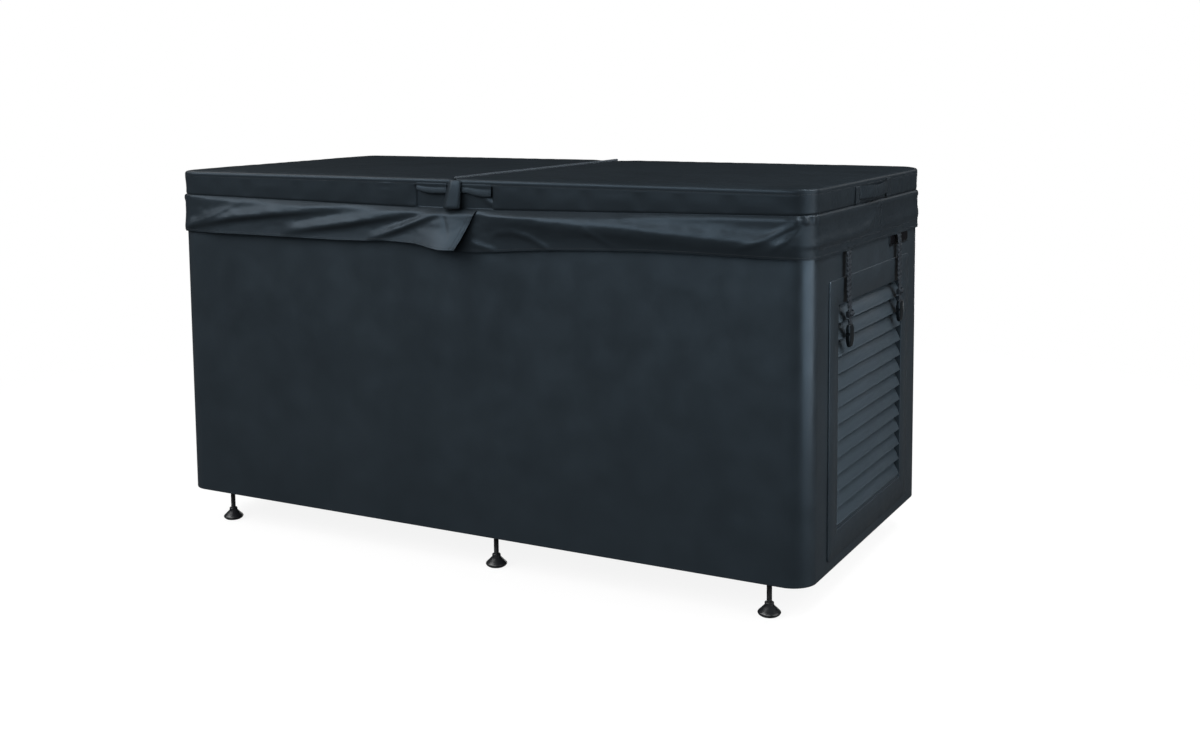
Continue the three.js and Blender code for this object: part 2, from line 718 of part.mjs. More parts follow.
add('control_housing', controlHousingGeometry(), 'blackPlastic');
add('control_glass', controlGlassGeometry(), 'blackGlass');

// Outline of one half of the cover, from its fold at the front, round its outer end, to its fold at the back.
// It is drawn for the right half, with u away from the fold. Slack is 0 at corners and 1 midway between.

function straightRun(region, from, to, normal, steps) {
  const knots = [];
  for (let i = 0; i < steps; i += 1) {
    const along = i / steps;
    knots.push({ region, point: from.clone().lerp(to, along), normal, slack: Math.sin(Math.PI * along) });
  }
  return knots;
}

function cornerRun(region, centre, radius, startAngle) {
  const knots = [];
  for (let i = 0; i < CORNER_STEPS; i += 1) {
    const angle = startAngle + (i / CORNER_STEPS) * (Math.PI / 2);
    const normal = new THREE.Vector2(Math.cos(angle), Math.sin(angle));
    knots.push({ region, point: normal.clone().multiplyScalar(radius).add(centre), normal, slack: 0 });
  }
  return knots;
}

function halfOutline(foldFront, foldBack, halfLength, halfWidth, radius, steps) {
  const u = halfLength - radius;
  const y = halfWidth - radius;
  const at = (a, b) => new THREE.Vector2(a, b);
  const backNormal = at(0, 1);
  return [
    ...straightRun(FRONT, at(foldFront, -halfWidth), at(u, -halfWidth), at(0, -1), steps.front),
    ...cornerRun(FRONT, at(u, -y), radius, -Math.PI / 2),
    ...straightRun(END, at(halfLength, -y), at(halfLength, y), at(1, 0), steps.end),
    ...cornerRun(END, at(u, y), radius, 0),
    ...straightRun(BACK, at(u, halfWidth), at(foldBack, halfWidth), backNormal, steps.back),
    { region: BACK, point: at(foldBack, halfWidth), normal: backNormal, slack: 0 },
  ];
}

// Padded halves

const PAD_STEPS = { front: 6, end: 6, back: 6 };
// How far in a quarter round has come at its middle, as a share of its radius.
const HALF_ROUND = 1 - Math.SQRT1_2;

// Inset and height of each ring of the pad, from its flat foot to its crowned top.
const PAD_RINGS = [
  { inset: PAD_FOOT_INSET, z: PAD_BASE, draw: 0 },
  { inset: PAD_FOOT_ROUND, z: PAD_BASE, draw: 0 },
  { inset: 0, z: PAD_BASE + PAD_FOOT_ROUND, draw: 0 },
  { inset: 0, z: PAD_BASE + PAD_THICKNESS / 2, draw: PAD_DRAW_IN },
  { inset: 0, z: PAD_TOP - PAD_EDGE_ROUND, draw: 0 },
  { inset: PAD_EDGE_ROUND * HALF_ROUND, z: PAD_TOP - PAD_EDGE_ROUND * HALF_ROUND, draw: 0 },
  { inset: PAD_EDGE_ROUND, z: PAD_TOP, draw: 0 },
  { inset: PAD_SHOULDER_INSET, z: PAD_TOP + PAD_SHOULDER_RISE, draw: 0 },
  { inset: PAD_CROWN_INSET, z: PAD_TOP + PAD_CROWN, draw: 0 },
];

// The top rises a little towards the fold.
function padRise(u, z) {
  const share = (z - PAD_BASE) / PAD_THICKNESS;
  return PAD_PEAK * share * (1 - u / HALF_LENGTH);
}

function padRing(side, ring) {
  const grow = COVER_OVERHANG - ring.inset;
  const fold = FOLD_GAP / 2 + ring.inset;
  const radius = Math.max(CORNER + grow, PAD_EDGE_ROUND);
  const knots = halfOutline(fold, fold, HALF_LENGTH + grow, HALF_WIDTH + grow, radius, PAD_STEPS);
  return knots.map(({ point, normal, slack }) => {
    const spot = point.clone().addScaledVector(normal, -ring.draw * slack);
    return new THREE.Vector3(side * spot.x, spot.y, ring.z + padRise(spot.x, ring.z));
  });
}

function padGeometry(side) {
  const pad = stacked(PAD_RINGS.map((ring) => padRing(side, ring)));
  const front = -HALF_WIDTH - COVER_OVERHANG;
  const from = Math.min(0, side * NOTCH_LENGTH);
  const to = Math.max(0, side * NOTCH_LENGTH);
  const notch = box(
    from, to, front - OVERCUT, front + NOTCH_DEPTH, PAD_BASE - OVERCUT, PAD_TOP - NOTCH_LIP);
  return combine([pad], [notch]);
}

add('cover_left_pad', padGeometry(-1), 'vinyl');
add('cover_right_pad', padGeometry(1), 'vinyl');

// Welt along the fold, and the gusset pieces at its front end

const COVER_FRONT = -HALF_WIDTH - COVER_OVERHANG;

function weltGeometry() {
  const reach = HALF_WIDTH + COVER_OVERHANG - PAD_EDGE_ROUND;
  return rodAlongY(0, -reach, reach, FOLD_AXIS_Z, WELT_RADIUS, 10);
}

// A slack band below the notch's lip, bowed outwards and sagging between its ends.
function bandGeometry(side) {
  const inner = LOOP_BOTTOM_WIDTH / 2 + LOOP_LEAN;
  const outer = NOTCH_LENGTH - GAP;
  const top = PAD_TOP - NOTCH_LIP - GAP;
  return shapedBox(8, 1, 4, (u, v, w) => {
    const hang = Math.sin(Math.PI * u);
    const x = side * (inner + (outer - inner) * u);
    const y = COVER_FRONT + GAP + BAND_THICKNESS * v - BAND_BOW * hang * (1 - w);
    const z = top - (BAND_HEIGHT + BAND_SAG * hang) * (1 - w);
    return new THREE.Vector3(x, y, z);
  });
}

// The folded vinyl loop: narrow and flat at its top, wider and fuller at its foot.
function loopGeometry() {
  const top = PAD_TOP - LOOP_TOP_DROP;
  const back = COVER_FRONT - GAP;
  return shapedBox(4, 3, 6, (u, v, w) => {
    const fall = 1 - w;
    const width = THREE.MathUtils.lerp(LOOP_TOP_WIDTH, LOOP_BOTTOM_WIDTH, fall);
    const depth = THREE.MathUtils.lerp(LOOP_TOP_DEPTH, LOOP_BOTTOM_DEPTH, smooth(0, 1, fall));
    const bulge = 1 - LOOP_ROUNDING * (2 * u - 1) ** 2;
    const x = width * (u - 0.5) - LOOP_LEAN * (fall - 0.5);
    return new THREE.Vector3(x, back - depth * (1 - v) * bulge, top - LOOP_HEIGHT * fall);
  });
}

add('fold_welt', weltGeometry(), 'vinyl');
add('fold_loop', loopGeometry(), 'vinyl');
add('fold_band_left', bandGeometry(-1), 'vinyl');
add('fold_band_right', bandGeometry(1), 'vinyl');

// Skirts

const SKIRT_STEPS = { front: SKIRT_FRONT_STEPS, end: SKIRT_END_STEPS, back: SKIRT_BACK_STEPS };

function seamHeight(side, u) {
  const endDrop = side < 0 ? LEFT_SEAM_DROP : RIGHT_SEAM_DROP;
  const share = THREE.MathUtils.clamp(u / HALF_LENGTH, 0, 1);
  return PAD_TOP - THREE.MathUtils.lerp(SEAM_DROP_AT_FOLD, endDrop, share);
}

function hemHeight(side, region, u) {
  if (side > 0) {
    const rise = smooth(HEM_RISE_START, HEM_RISE_START + HEM_RISE_LENGTH, u);
    return PAD_TOP - THREE.MathUtils.lerp(HEM_DROP, RIGHT_HEM_DROP, rise);
  }
  const lap = region === FRONT ? 1 - smooth(-LAP_BOTTOM, LAP_RUN, u) : 0;
  return PAD_TOP - LEFT_HEM_DROP - LAP_DROP * lap;
}

// How far the main folds stand out, for a point at down = 0 on the seam and 1 on the hem.
function foldDepth(side, region, u, slack, down) {
  const roll = Math.sin(Math.PI * down);
  if (region === FRONT && side < 0) {
    const fromGather = THREE.MathUtils.clamp(u / HALF_LENGTH, 0, 1);
    const angle = Math.atan2(down, fromGather * GATHER_FOLDS);
    const ripple = (1 + Math.sin(angle * 2 * GATHER_FOLDS)) / 2;
    return SKIRT_FOLD_DEPTH * roll * (1 - fromGather) * ripple;
  }
  if (region === FRONT) {
    const along = THREE.MathUtils.clamp((u - LAP_RUN) / (HALF_LENGTH - LAP_RUN), 0, 1);
    const crest = ROLL_START + ROLL_FALL * along;
    const swell = Math.exp(-(((down - crest) / ROLL_SPREAD) ** 2));
    return SKIRT_FOLD_DEPTH * along * swell * roll;
  }
  return END_FOLD_DEPTH * roll * slack;
}

function skirtSpot(side, knot, lapShift, down, through) {
  const u = knot.point.x + lapShift * (1 - smooth(0, LAP_RUN, knot.point.x + LAP_TOP));
  const lap = side < 0 && knot.region === FRONT ? LAP_PROUD * (1 - smooth(0, LAP_RUN, u)) : 0;
  const flat = knot.region === FRONT ? smooth(0, LAP_RUN, Math.abs(u)) : 1;
  const flareAtFold = side < 0 ? SKIRT_FLARE : LAPPED_FLARE;
  const flare = down * THREE.MathUtils.lerp(flareAtFold, SKIRT_FLARE, flat);
  const out = SKIRT_SEAT + lap + flare + foldDepth(side, knot.region, u, knot.slack, down);
  const reach = out + SKIRT_THICKNESS * through;
  const seam = seamHeight(side, u);
  const hem = hemHeight(side, knot.region, u);
  return new THREE.Vector3(
    side * (u + knot.normal.x * reach),
    knot.point.y + knot.normal.y * reach,
    THREE.MathUtils.lerp(seam, hem, down),
  );
}

function skirtGeometry(side) {
  const foldFront = side < 0 ? -LAP_TOP : FOLD_GAP;
  const knots = halfOutline(foldFront, FOLD_GAP / 2, HALF_LENGTH, HALF_WIDTH, CORNER, SKIRT_STEPS);
  const last = knots.length - 1;
  return shapedBox(last, SKIRT_DOWN_STEPS, 1, (along, up, through) => {
    const down = 1 - up;
    const lapShift = side < 0 ? (LAP_TOP - LAP_BOTTOM) * down : 0;
    return skirtSpot(side, knots[Math.round(along * last)], lapShift, down, through);
  });
}

add('cover_left_skirt', skirtGeometry(-1), 'vinyl');
add('cover_right_skirt', skirtGeometry(1), 'vinyl');

// Handles, straps and buckles on both ends

function handleGeometry(side) {
  const seat = HALF_LENGTH + COVER_OVERHANG + GAP;
  const face = seat + HANDLE_TAB_THICKNESS;
  const half = HANDLE_SPAN / 2;
  const top = PAD_TOP - PAD_EDGE_ROUND;
  const bottom = seamHeight(1, HALF_LENGTH) + HANDLE_TAB_CLEARANCE;
  const bandTop = PAD_TOP - HANDLE_BAND_DROP + HANDLE_BAND_HEIGHT / 2;
  const x = [side * seat, side * face].sort((a, b) => a - b);
  const tabs = [-1, 1].map((end) => {
    const y = end * (half + HANDLE_TAB_WIDTH / 2);
    return box(x[0], x[1], y - HANDLE_TAB_WIDTH / 2, y + HANDLE_TAB_WIDTH / 2, bottom, top);
  });
  const band = shapedBox(12, 1, 1, (u, v, w) => {
    const bow = HANDLE_BOW * Math.sin(Math.PI * u) ** HANDLE_FULLNESS;
    const reach = seat + HANDLE_TAB_THICKNESS * v + bow;
    const y = (u - 0.5) * (HANDLE_SPAN + 2 * HANDLE_TAB_THICKNESS);
    return new THREE.Vector3(side * reach, y, bandTop - HANDLE_BAND_HEIGHT * (1 - w));
  });
  return combine([band, ...tabs]);
}

const STRAP_INNER = HALF_LENGTH + SKIRT_SEAT + SKIRT_FLARE;

function strapTop(side) {
  return hemHeight(side, END, HALF_LENGTH) - GAP;
}

function strapGeometry(side, y) {
  const x = [side * STRAP_INNER, side * (STRAP_INNER + STRAP_THICKNESS)].sort((a, b) => a - b);
  const top = strapTop(side);
  return box(x[0], x[1], y - STRAP_WIDTH / 2, y + STRAP_WIDTH / 2, top - STRAP_LENGTH, top);
}

function buckleGeometry(side, y) {
  const top = strapTop(side) - STRAP_LENGTH - GAP;
  const half = BUCKLE_WIDTH / 2 - BUCKLE_EDGE;
  const outline = roundedRectangle(
    y - half, y + half, top - BUCKLE_HEIGHT + BUCKLE_EDGE, top - BUCKLE_EDGE, BUCKLE_ROUND - BUCKLE_EDGE);
  const geometry = new THREE.ExtrudeGeometry(outline, {
    depth: BUCKLE_DEPTH - 2 * BUCKLE_EDGE,
    bevelThickness: BUCKLE_EDGE,
    bevelSize: BUCKLE_EDGE,
    bevelSegments: 1,
    curveSegments: 1,
  });
  const middle = side * (STRAP_INNER + STRAP_THICKNESS / 2);
  return geometry.translate(0, 0, middle - BUCKLE_DEPTH / 2 + BUCKLE_EDGE).applyMatrix4(ALONG_X);
}

for (const [word, side] of [['right', 1], ['left', -1]]) {
  add(`cover_${word}_handle`, handleGeometry(side), 'vinyl');
  for (const [place, y] of [['front', -STRAP_SPACING / 2], ['back', STRAP_SPACING / 2]]) {
    add(`strap_${word}_${place}`, strapGeometry(side, y), 'webbing');
    add(`buckle_${word}_${place}`, buckleGeometry(side, y), 'blackPlastic');
  }
}

// Machine bay: condenser and fan behind the louvres

const CONDENSER_RIGHT = END_FACE - SLEEVE_DEPTH - CONDENSER_WALL_SPACE;
const CONDENSER_LEFT = CONDENSER_RIGHT - CONDENSER_DEPTH;
const SHROUD_RIGHT = CONDENSER_LEFT - SHROUD_TO_CONDENSER;
const SHROUD_LEFT = SHROUD_RIGHT - SHROUD_PLATE;
const SHROUD_HALF = SHROUD_HOLE_RADIUS + SHROUD_POST + SHROUD_SIDE_MARGIN + SHROUD_POST;
const SHROUD_BASE = RAIL_TOP + GAP;
const FAN_Z = SHROUD_BASE + SHROUD_HALF;
const HUB_RIGHT = SHROUD_RIGHT + SHROUD_PLATE;
const HUB_LEFT = HUB_RIGHT - FAN_HUB_LENGTH;
const MOTOR_FACE = HUB_LEFT - GAP;

// Finned block: its outline in (x, y) has one notch between each two fins.
function condenserGeometry() {
  const half = CONDENSER_WIDTH / 2;
  const step = CONDENSER_WIDTH / (2 * CONDENSER_FINS - 1);
  const shape = new THREE.Shape();
  shape.moveTo(CONDENSER_LEFT, half);
  shape.lineTo(CONDENSER_LEFT, -half);
  for (let fin = 0; fin < CONDENSER_FINS; fin += 1) {
    const y = -half + 2 * fin * step;
    shape.lineTo(CONDENSER_RIGHT, y);
    shape.lineTo(CONDENSER_RIGHT, y + step);
    if (fin + 1 < CONDENSER_FINS) {
      shape.lineTo(CONDENSER_RIGHT - FIN_DEPTH, y + step);
      shape.lineTo(CONDENSER_RIGHT - FIN_DEPTH, y + 2 * step);
    }
  }
  return slab(shape, FLOOR_SEAT, FLOOR_SEAT + CONDENSER_HEIGHT);
}

function shroudGeometry() {
  const plate = box(
    SHROUD_LEFT, SHROUD_RIGHT, -SHROUD_HALF, SHROUD_HALF, SHROUD_BASE, SHROUD_BASE + 2 * SHROUD_HALF);
  const hole = rodAlongX(
    SHROUD_LEFT - OVERCUT, SHROUD_RIGHT + OVERCUT, 0, FAN_Z, SHROUD_HOLE_RADIUS, 32);
  const motor = rodAlongX(MOTOR_FACE - FAN_MOTOR_LENGTH, MOTOR_FACE, 0, FAN_Z, FAN_MOTOR_RADIUS);
  const armLeft = MOTOR_FACE - FAN_MOTOR_LENGTH + SHROUD_ARM;
  const reach = SHROUD_HOLE_RADIUS + SHROUD_POST;
  const half = SHROUD_POST / 2;
  const spokes = [0, 1, 2].flatMap((arm) => {
    const angle = Math.PI / 2 + (arm * 2 * Math.PI) / 3;
    const bar = box(armLeft, armLeft + SHROUD_ARM, -half, half, 0, reach);
    const post = box(armLeft, SHROUD_LEFT + OVERCUT, -half, half, reach - SHROUD_POST + OVERCUT, reach);
    return [bar, post].map((piece) => piece.rotateX(angle).translate(0, 0, FAN_Z));
  });
  const body = solid(plate).subtract(solid(hole));
  const spider = spokes.reduce((sum, spoke) => sum.add(solid(spoke)), solid(motor));
  return geometryOf(body.add(spider));
}

function fanGeometry() {
  const hub = rodAlongX(HUB_LEFT, HUB_RIGHT, 0, 0, FAN_HUB_RADIUS, 20);
  const sweep = SHROUD_HOLE_RADIUS - FAN_TIP_CLEARANCE;
  const middle = (HUB_LEFT + HUB_RIGHT) / 2;
  const tip = Math.sqrt(sweep ** 2 - (FAN_BLADE_CHORD / 2) ** 2);
  const blades = [];
  for (let i = 0; i < FAN_BLADES; i += 1) {
    const blade = shapedBox(1, 2, 4, (u, v, w) => new THREE.Vector3(
      (u - 0.5) * FAN_BLADE_THICKNESS,
      (v - 0.5) * FAN_BLADE_CHORD,
      THREE.MathUtils.lerp(FAN_BLADE_ROOT, tip, w),
    ));
    const turn = (i * 2 * Math.PI) / FAN_BLADES;
    blades.push(blade.rotateZ(FAN_BLADE_PITCH).rotateX(turn).translate(middle, 0, 0));
  }
  return combine([hub, ...blades]).translate(0, 0, FAN_Z);
}

add('condenser_coil', condenserGeometry(), 'steel');
add('fan_shroud', shroudGeometry(), 'castBlack');
add('fan_rotor', fanGeometry(), 'blackPlastic');

// Machine bay: compressor, heat exchanger, pump, filter and hoses

function compressorGeometry() {
  const profile = [
    [0, 0],
    [COMPRESSOR_RADIUS, 0],
    [COMPRESSOR_RADIUS, COMPRESSOR_BASE],
    [COMPRESSOR_BODY_RADIUS, COMPRESSOR_BASE],
    [COMPRESSOR_BODY_RADIUS, COMPRESSOR_HEIGHT - COMPRESSOR_DOME],
    [COMPRESSOR_CAP_RADIUS, COMPRESSOR_HEIGHT - COMPRESSOR_CAP],
    [0, COMPRESSOR_HEIGHT],
  ];
  return turned(profile, BAY_ROW_X, COMPRESSOR_Y, FLOOR_SEAT, 20);
}

function exchangerGeometry() {
  const r = EXCHANGER_RADIUS;
  const waist = EXCHANGER_BODY_RADIUS;
  const h = EXCHANGER_HEIGHT;
  const upper = h - EXCHANGER_COLLAR;
  const profile = [
    [0, 0], [r, 0], [r, EXCHANGER_COLLAR], [waist, EXCHANGER_COLLAR], [waist, upper], [r, upper], [r, h],
    [PORT_RADIUS, h], [PORT_RADIUS, h + PORT_LENGTH], [0, h + PORT_LENGTH],
  ];
  return turned(profile, BAY_ROW_X, EXCHANGER_Y, FLOOR_SEAT, 20);
}

function pumpGeometry() {
  const motor = rodAlongY(BAY_ROW_X, PUMP_Y0, PUMP_HEAD_Y + OVERCUT, PUMP_Z, PUMP_MOTOR_RADIUS);
  const headEnd = PUMP_HEAD_Y + PUMP_HEAD_LENGTH;
  const head = rodAlongY(BAY_ROW_X, PUMP_HEAD_Y, headEnd, PUMP_Z, PUMP_HEAD_RADIUS, 20);
  const port = rodAlongZ(BAY_ROW_X, STRAINER_Y, PUMP_Z, PUMP_PORT_TOP, PORT_RADIUS);
  const half = PUMP_FOOT_WIDTH / 2;
  const footY0 = PUMP_Y0 + PUMP_FOOT_INSET;
  const footY1 = PUMP_HEAD_Y - PUMP_FOOT_INSET;
  const foot = box(BAY_ROW_X - half, BAY_ROW_X + half, footY0, footY1, FLOOR_SEAT, PUMP_Z);
  return combine([motor, head, port, foot]);
}

function filterGeometry() {
  const r = FILTER_RADIUS;
  const h = FILTER_HEIGHT;
  const lid = r + FILTER_LID_OVERHANG;
  const lidTop = h + FILTER_LID_HEIGHT;
  const knobTop = lidTop + FILTER_KNOB_HEIGHT;
  const profile = [
    [0, 0], [r - FILTER_FOOT_CHAMFER, 0], [r, FILTER_FOOT_CHAMFER], [r, h], [lid, h], [lid, lidTop],
    [FILTER_KNOB_RADIUS, lidTop], [FILTER_KNOB_RADIUS, knobTop], [0, knobTop],
  ];
  return turned(profile, BAY_ROW_X, FILTER_Y, FLOOR_SEAT, 20);
}

// A hose from a wall fitting, square out of it, round one bend and square onto a port that faces up.
function hoseGeometry(y, wallZ, portZ) {
  const start = new THREE.Vector3(FITTING_END + GAP, y, wallZ);
  const end = new THREE.Vector3(BAY_ROW_X, y, portZ + GAP);
  const corner = new THREE.Vector3(end.x, y, start.z);
  const path = new THREE.CurvePath();
  const before = corner.clone().setX(corner.x - HOSE_BEND);
  const after = corner.clone().setZ(corner.z + Math.sign(end.z - start.z) * HOSE_BEND);
  path.add(new THREE.LineCurve3(start, before));
  path.add(new THREE.QuadraticBezierCurve3(before, corner, after));
  path.add(new THREE.LineCurve3(after, end));
  const ring = new THREE.Shape().absarc(0, 0, HOSE_RADIUS, 0, 2 * Math.PI);
  const tube = { extrudePath: path, steps: HOSE_STEPS, curveSegments: 5 };
  return closed(new THREE.ExtrudeGeometry(ring, tube));
}

add('compressor', compressorGeometry(), 'castBlack');
add('heat_exchanger', exchangerGeometry(), 'steel');
add('circulation_pump', pumpGeometry(), 'castBlack');
add('filter_housing', filterGeometry(), 'greyPlastic');
add('suction_hose', hoseGeometry(STRAINER_Y, STRAINER_Z, PUMP_PORT_TOP), 'rubber');
add('return_hose', hoseGeometry(JET_Y, JET_Z, EXCHANGER_PORT_TOP), 'rubber');

// Drain and power inlet on the back

const DRAIN_FACE = BACK_FACE + DRAIN_FLANGE;

function drainValveGeometry() {
  const barrel = rodAlongY(DRAIN_X, TUB_HALF_WIDTH, BACK_FACE + OVERCUT, DRAIN_Z, FITTING_RADIUS);
  const flange = rodAlongY(DRAIN_X, BACK_FACE, DRAIN_FACE, DRAIN_Z, DRAIN_FLANGE_RADIUS, 24);
  return combine([barrel, flange]);
}

function drainKnobGeometry() {
  const start = DRAIN_FACE + GAP;
  const base = rodAlongY(DRAIN_X, start, start + KNOB_BASE, DRAIN_Z, KNOB_RADIUS, 20);
  const half = KNOB_GRIP_WIDTH / 2;
  const grip = box(
    DRAIN_X - KNOB_RADIUS, DRAIN_X + KNOB_RADIUS, start + OVERCUT, start + KNOB_BASE + KNOB_GRIP_HEIGHT,
    DRAIN_Z - half, DRAIN_Z + half);
  return combine([base, grip]);
}

function powerInletGeometry() {
  const flange = plateAlongY(inletOutline(0, INLET_CORNER), BACK_FACE, BACK_FACE + INLET_FLANGE);
  const bodyOutline = inletOutline(INLET_BODY_MARGIN, INLET_CORNER);
  const body = plateAlongY(bodyOutline, BACK_FACE - INLET_BODY_DEPTH, BACK_FACE + OVERCUT);
  const x = SOCKET_WIDTH / 2;
  const z = SOCKET_HEIGHT / 2;
  const mouth = BACK_FACE + INLET_FLANGE;
  const socket = box(
    INLET_X - x, INLET_X + x, mouth - SOCKET_DEPTH, mouth + OVERCUT, INLET_Z - z, INLET_Z + z);
  return combine([flange, body], [socket]);
}

add('drain_valve', drainValveGeometry(), 'greyPlastic');
add('drain_knob', drainKnobGeometry(), 'blackPlastic');
add('power_inlet', powerInletGeometry(), 'blackPlastic');

export default tub;
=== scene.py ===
"""Cold plunge tub: finishes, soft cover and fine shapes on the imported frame.

Metres. +X is the end with the louvres, -Y is the front, +Z is up, and the floor is z = 0.
"""

import json
import math

import bmesh
import bpy
import numpy as np
from mathutils import Matrix, Vector, noise

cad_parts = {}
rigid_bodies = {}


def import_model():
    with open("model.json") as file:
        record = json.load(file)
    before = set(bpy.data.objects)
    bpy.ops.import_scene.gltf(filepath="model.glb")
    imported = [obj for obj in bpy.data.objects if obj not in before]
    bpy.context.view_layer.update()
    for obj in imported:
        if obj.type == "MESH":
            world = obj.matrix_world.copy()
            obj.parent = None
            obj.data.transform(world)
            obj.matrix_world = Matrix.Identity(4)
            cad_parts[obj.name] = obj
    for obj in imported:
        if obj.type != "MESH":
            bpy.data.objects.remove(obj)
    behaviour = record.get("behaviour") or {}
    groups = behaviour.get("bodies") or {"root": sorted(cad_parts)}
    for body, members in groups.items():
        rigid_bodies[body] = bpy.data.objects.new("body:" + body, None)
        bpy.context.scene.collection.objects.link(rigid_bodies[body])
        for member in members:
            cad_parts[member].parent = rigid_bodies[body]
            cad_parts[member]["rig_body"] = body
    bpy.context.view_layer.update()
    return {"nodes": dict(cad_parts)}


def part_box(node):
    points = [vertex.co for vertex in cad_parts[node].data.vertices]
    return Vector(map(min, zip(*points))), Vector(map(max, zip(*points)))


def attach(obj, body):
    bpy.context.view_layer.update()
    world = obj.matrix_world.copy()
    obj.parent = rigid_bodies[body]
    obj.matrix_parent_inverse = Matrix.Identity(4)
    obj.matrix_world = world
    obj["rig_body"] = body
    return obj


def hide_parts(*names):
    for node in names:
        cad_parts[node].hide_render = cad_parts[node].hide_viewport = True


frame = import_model()

MM = 0.001
SIDE = {"left": -1, "right": 1}

# Camera, fitted to the photograph's edges: yaw, pitch and roll in degrees, lens in mm
CAMERA_PLACE = (1.8143, -3.0681, 1.1222)
CAMERA_TURN = (28.356, 5.826, -0.483)
CAMERA_LENS, CAMERA_SENSOR = 42.49, 36
CAMERA_SHIFT = -0.1233

# Cabinet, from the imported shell
SHELL_LOW, SHELL_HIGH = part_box("cabinet_shell")
HALF_LENGTH, HALF_WIDTH, CABINET_TOP = SHELL_HIGH
CABINET_BOTTOM = SHELL_LOW[2]
CORNER = 55 * MM
SKIN = 6 * MM
SHELL_EDGE = 2 * MM
FLANGE_REACH = 7 * MM

# Basin, and the holes in its walls as (axis, wall, place)
RIM = 839 * MM
DECK = 8 * MM
TUB_X = (-790 * MM, 429.7 * MM)
TUB_Y = 330 * MM
TUB_FLOOR = 184.1 * MM
TUB_WALL = 6 * MM
TUB_CORNER = 50 * MM
TUB_ROUND = 40 * MM
PIPE_HOLE = 16.5 * MM
LIP_ROUND = 8 * MM
WALL_HOLES = (
    ("X", TUB_X[1], (0, 120 * MM, 331.3 * MM)), ("X", TUB_X[1], (0, -75 * MM, 516.3 * MM)),
    ("Y", TUB_Y, (-600 * MM, 0, 250.1 * MM)),
)

# Cover
PAD_THICKNESS = 70 * MM
PAD_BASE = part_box("cover_right_pad")[0][2]
PAD_TOP = PAD_BASE + PAD_THICKNESS
OVERHANG = 3 * MM
FOLD_HALF_GAP = 2 * MM
FOLD_RISE = 0.6 * MM
PAD_EDGE = 7 * MM
COVER_FRONT = -(HALF_WIDTH + OVERHANG)
COVER_END = HALF_LENGTH + OVERHANG
NOTCH_REACH = 104 * MM
NOTCH_DEPTH = 7 * MM
NOTCH_LIP = 16 * MM
TOPSTITCH_DROP = 12 * MM
SKIRT_SEAT = OVERHANG + 0.6 * MM
SKIRT_THICKNESS = 1.6 * MM
LAP_TOP = 64 * MM
LAP_BOTTOM = 27 * MM
LAP_PROUD = 7 * MM

# Vent in the right end
END_FACE = HALF_LENGTH + 0.3 * MM
VENT_LOW, VENT_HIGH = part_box("vent_frame")
SLEEVE_BACK, VENT_FRONT, VENT_Y = VENT_LOW[0], VENT_HIGH[0], VENT_HIGH[1]
VENT_Z = (VENT_LOW[2], VENT_HIGH[2])
VENT_BORDER = 56 * MM
VENT_CORNER = 8 * MM
SLEEVE_WALL = 8 * MM
SLAT_COUNT = 13
SILL = 12 * MM


def smooth(low, high, value):
    share = np.clip((value - low) / (high - low), 0.0, 1.0)
    return share * share * (3 - 2 * share)


def hump(distance, width):
    """A soft ridge: 1 on its crest, fading away over its width."""
    return math.exp(-((distance / width) ** 2))


def read_row(row, place, column=1, beyond=None):
    """Reads a row of points in mm at a place along it in metres."""
    places = [p[0] * MM for p in row]
    return np.interp(place, places, [p[column] * MM for p in row], left=beyond, right=beyond)


def photo_camera():
    yaw, pitch, roll = (math.radians(angle) for angle in CAMERA_TURN)
    turn = Matrix.Rotation(yaw, 4, "Z") @ Matrix.Rotation(math.pi / 2 - pitch, 4, "X")
    lens = bpy.data.cameras.new("photo_camera")
    lens.sensor_width = CAMERA_SENSOR
    lens.lens = CAMERA_LENS
    lens.shift_y = CAMERA_SHIFT
    camera = bpy.data.objects.new("photo_camera", lens)
    turn @= Matrix.Rotation(roll, 4, "Z")
    camera.matrix_world = Matrix.Translation(CAMERA_PLACE) @ turn
    bpy.context.collection.objects.link(camera)
    bpy.context.scene.camera = camera


photo_camera()


# Making and finishing pieces


def made(name, points, faces, edges=()):
    mesh = bpy.data.meshes.new(name)
    mesh.from_pydata([tuple(map(float, p)) for p in points], list(edges), faces)
    mesh.update()
    piece = bpy.data.objects.new(name, mesh)
    bpy.context.collection.objects.link(piece)
    return piece


def grid_faces(rows, columns, ring=False, tube=False):
    faces = []
    for row in range(rows if tube else rows - 1):
        here, below = row * columns, (row + 1) % rows * columns
        for column in range(columns if ring else columns - 1):
            right = (column + 1) % columns
            faces.append((here + column, here + right, below + right, below + column))
    return faces


def sheet_of(name, rows, columns, point):
    """An open sheet: point(row, column) gives its points."""
    points = [point(row, column) for row in rows for column in columns]
    return made(name, points, grid_faces(len(rows), len(columns)))


def shaded(piece, sharp):
    """Shades smooth, with the edges past the sharp angle left crisp."""
    piece.data.shade_smooth()
    piece.data.set_sharp_from_angle(angle=math.radians(sharp))
    return piece


def tidy(piece, sharp=35, turn=True):
    """Merges doubles, turns the faces outwards and shades smooth up to a sharp angle."""
    work = bmesh.new()
    work.from_mesh(piece.data)
    bmesh.ops.remove_doubles(work, verts=work.verts, dist=1e-6)
    if turn:
        bmesh.ops.recalc_face_normals(work, faces=work.faces)
    work.to_mesh(piece.data)
    work.free()
    return shaded(piece, sharp)


def settle(piece):
    """Turns the piece's modifiers into a plain mesh."""
    graph = bpy.context.evaluated_depsgraph_get()
    mesh = bpy.data.meshes.new_from_object(piece.evaluated_get(graph), depsgraph=graph)
    old = piece.data
    piece.modifiers.clear()
    piece.data = mesh
    bpy.data.meshes.remove(old)
    return piece


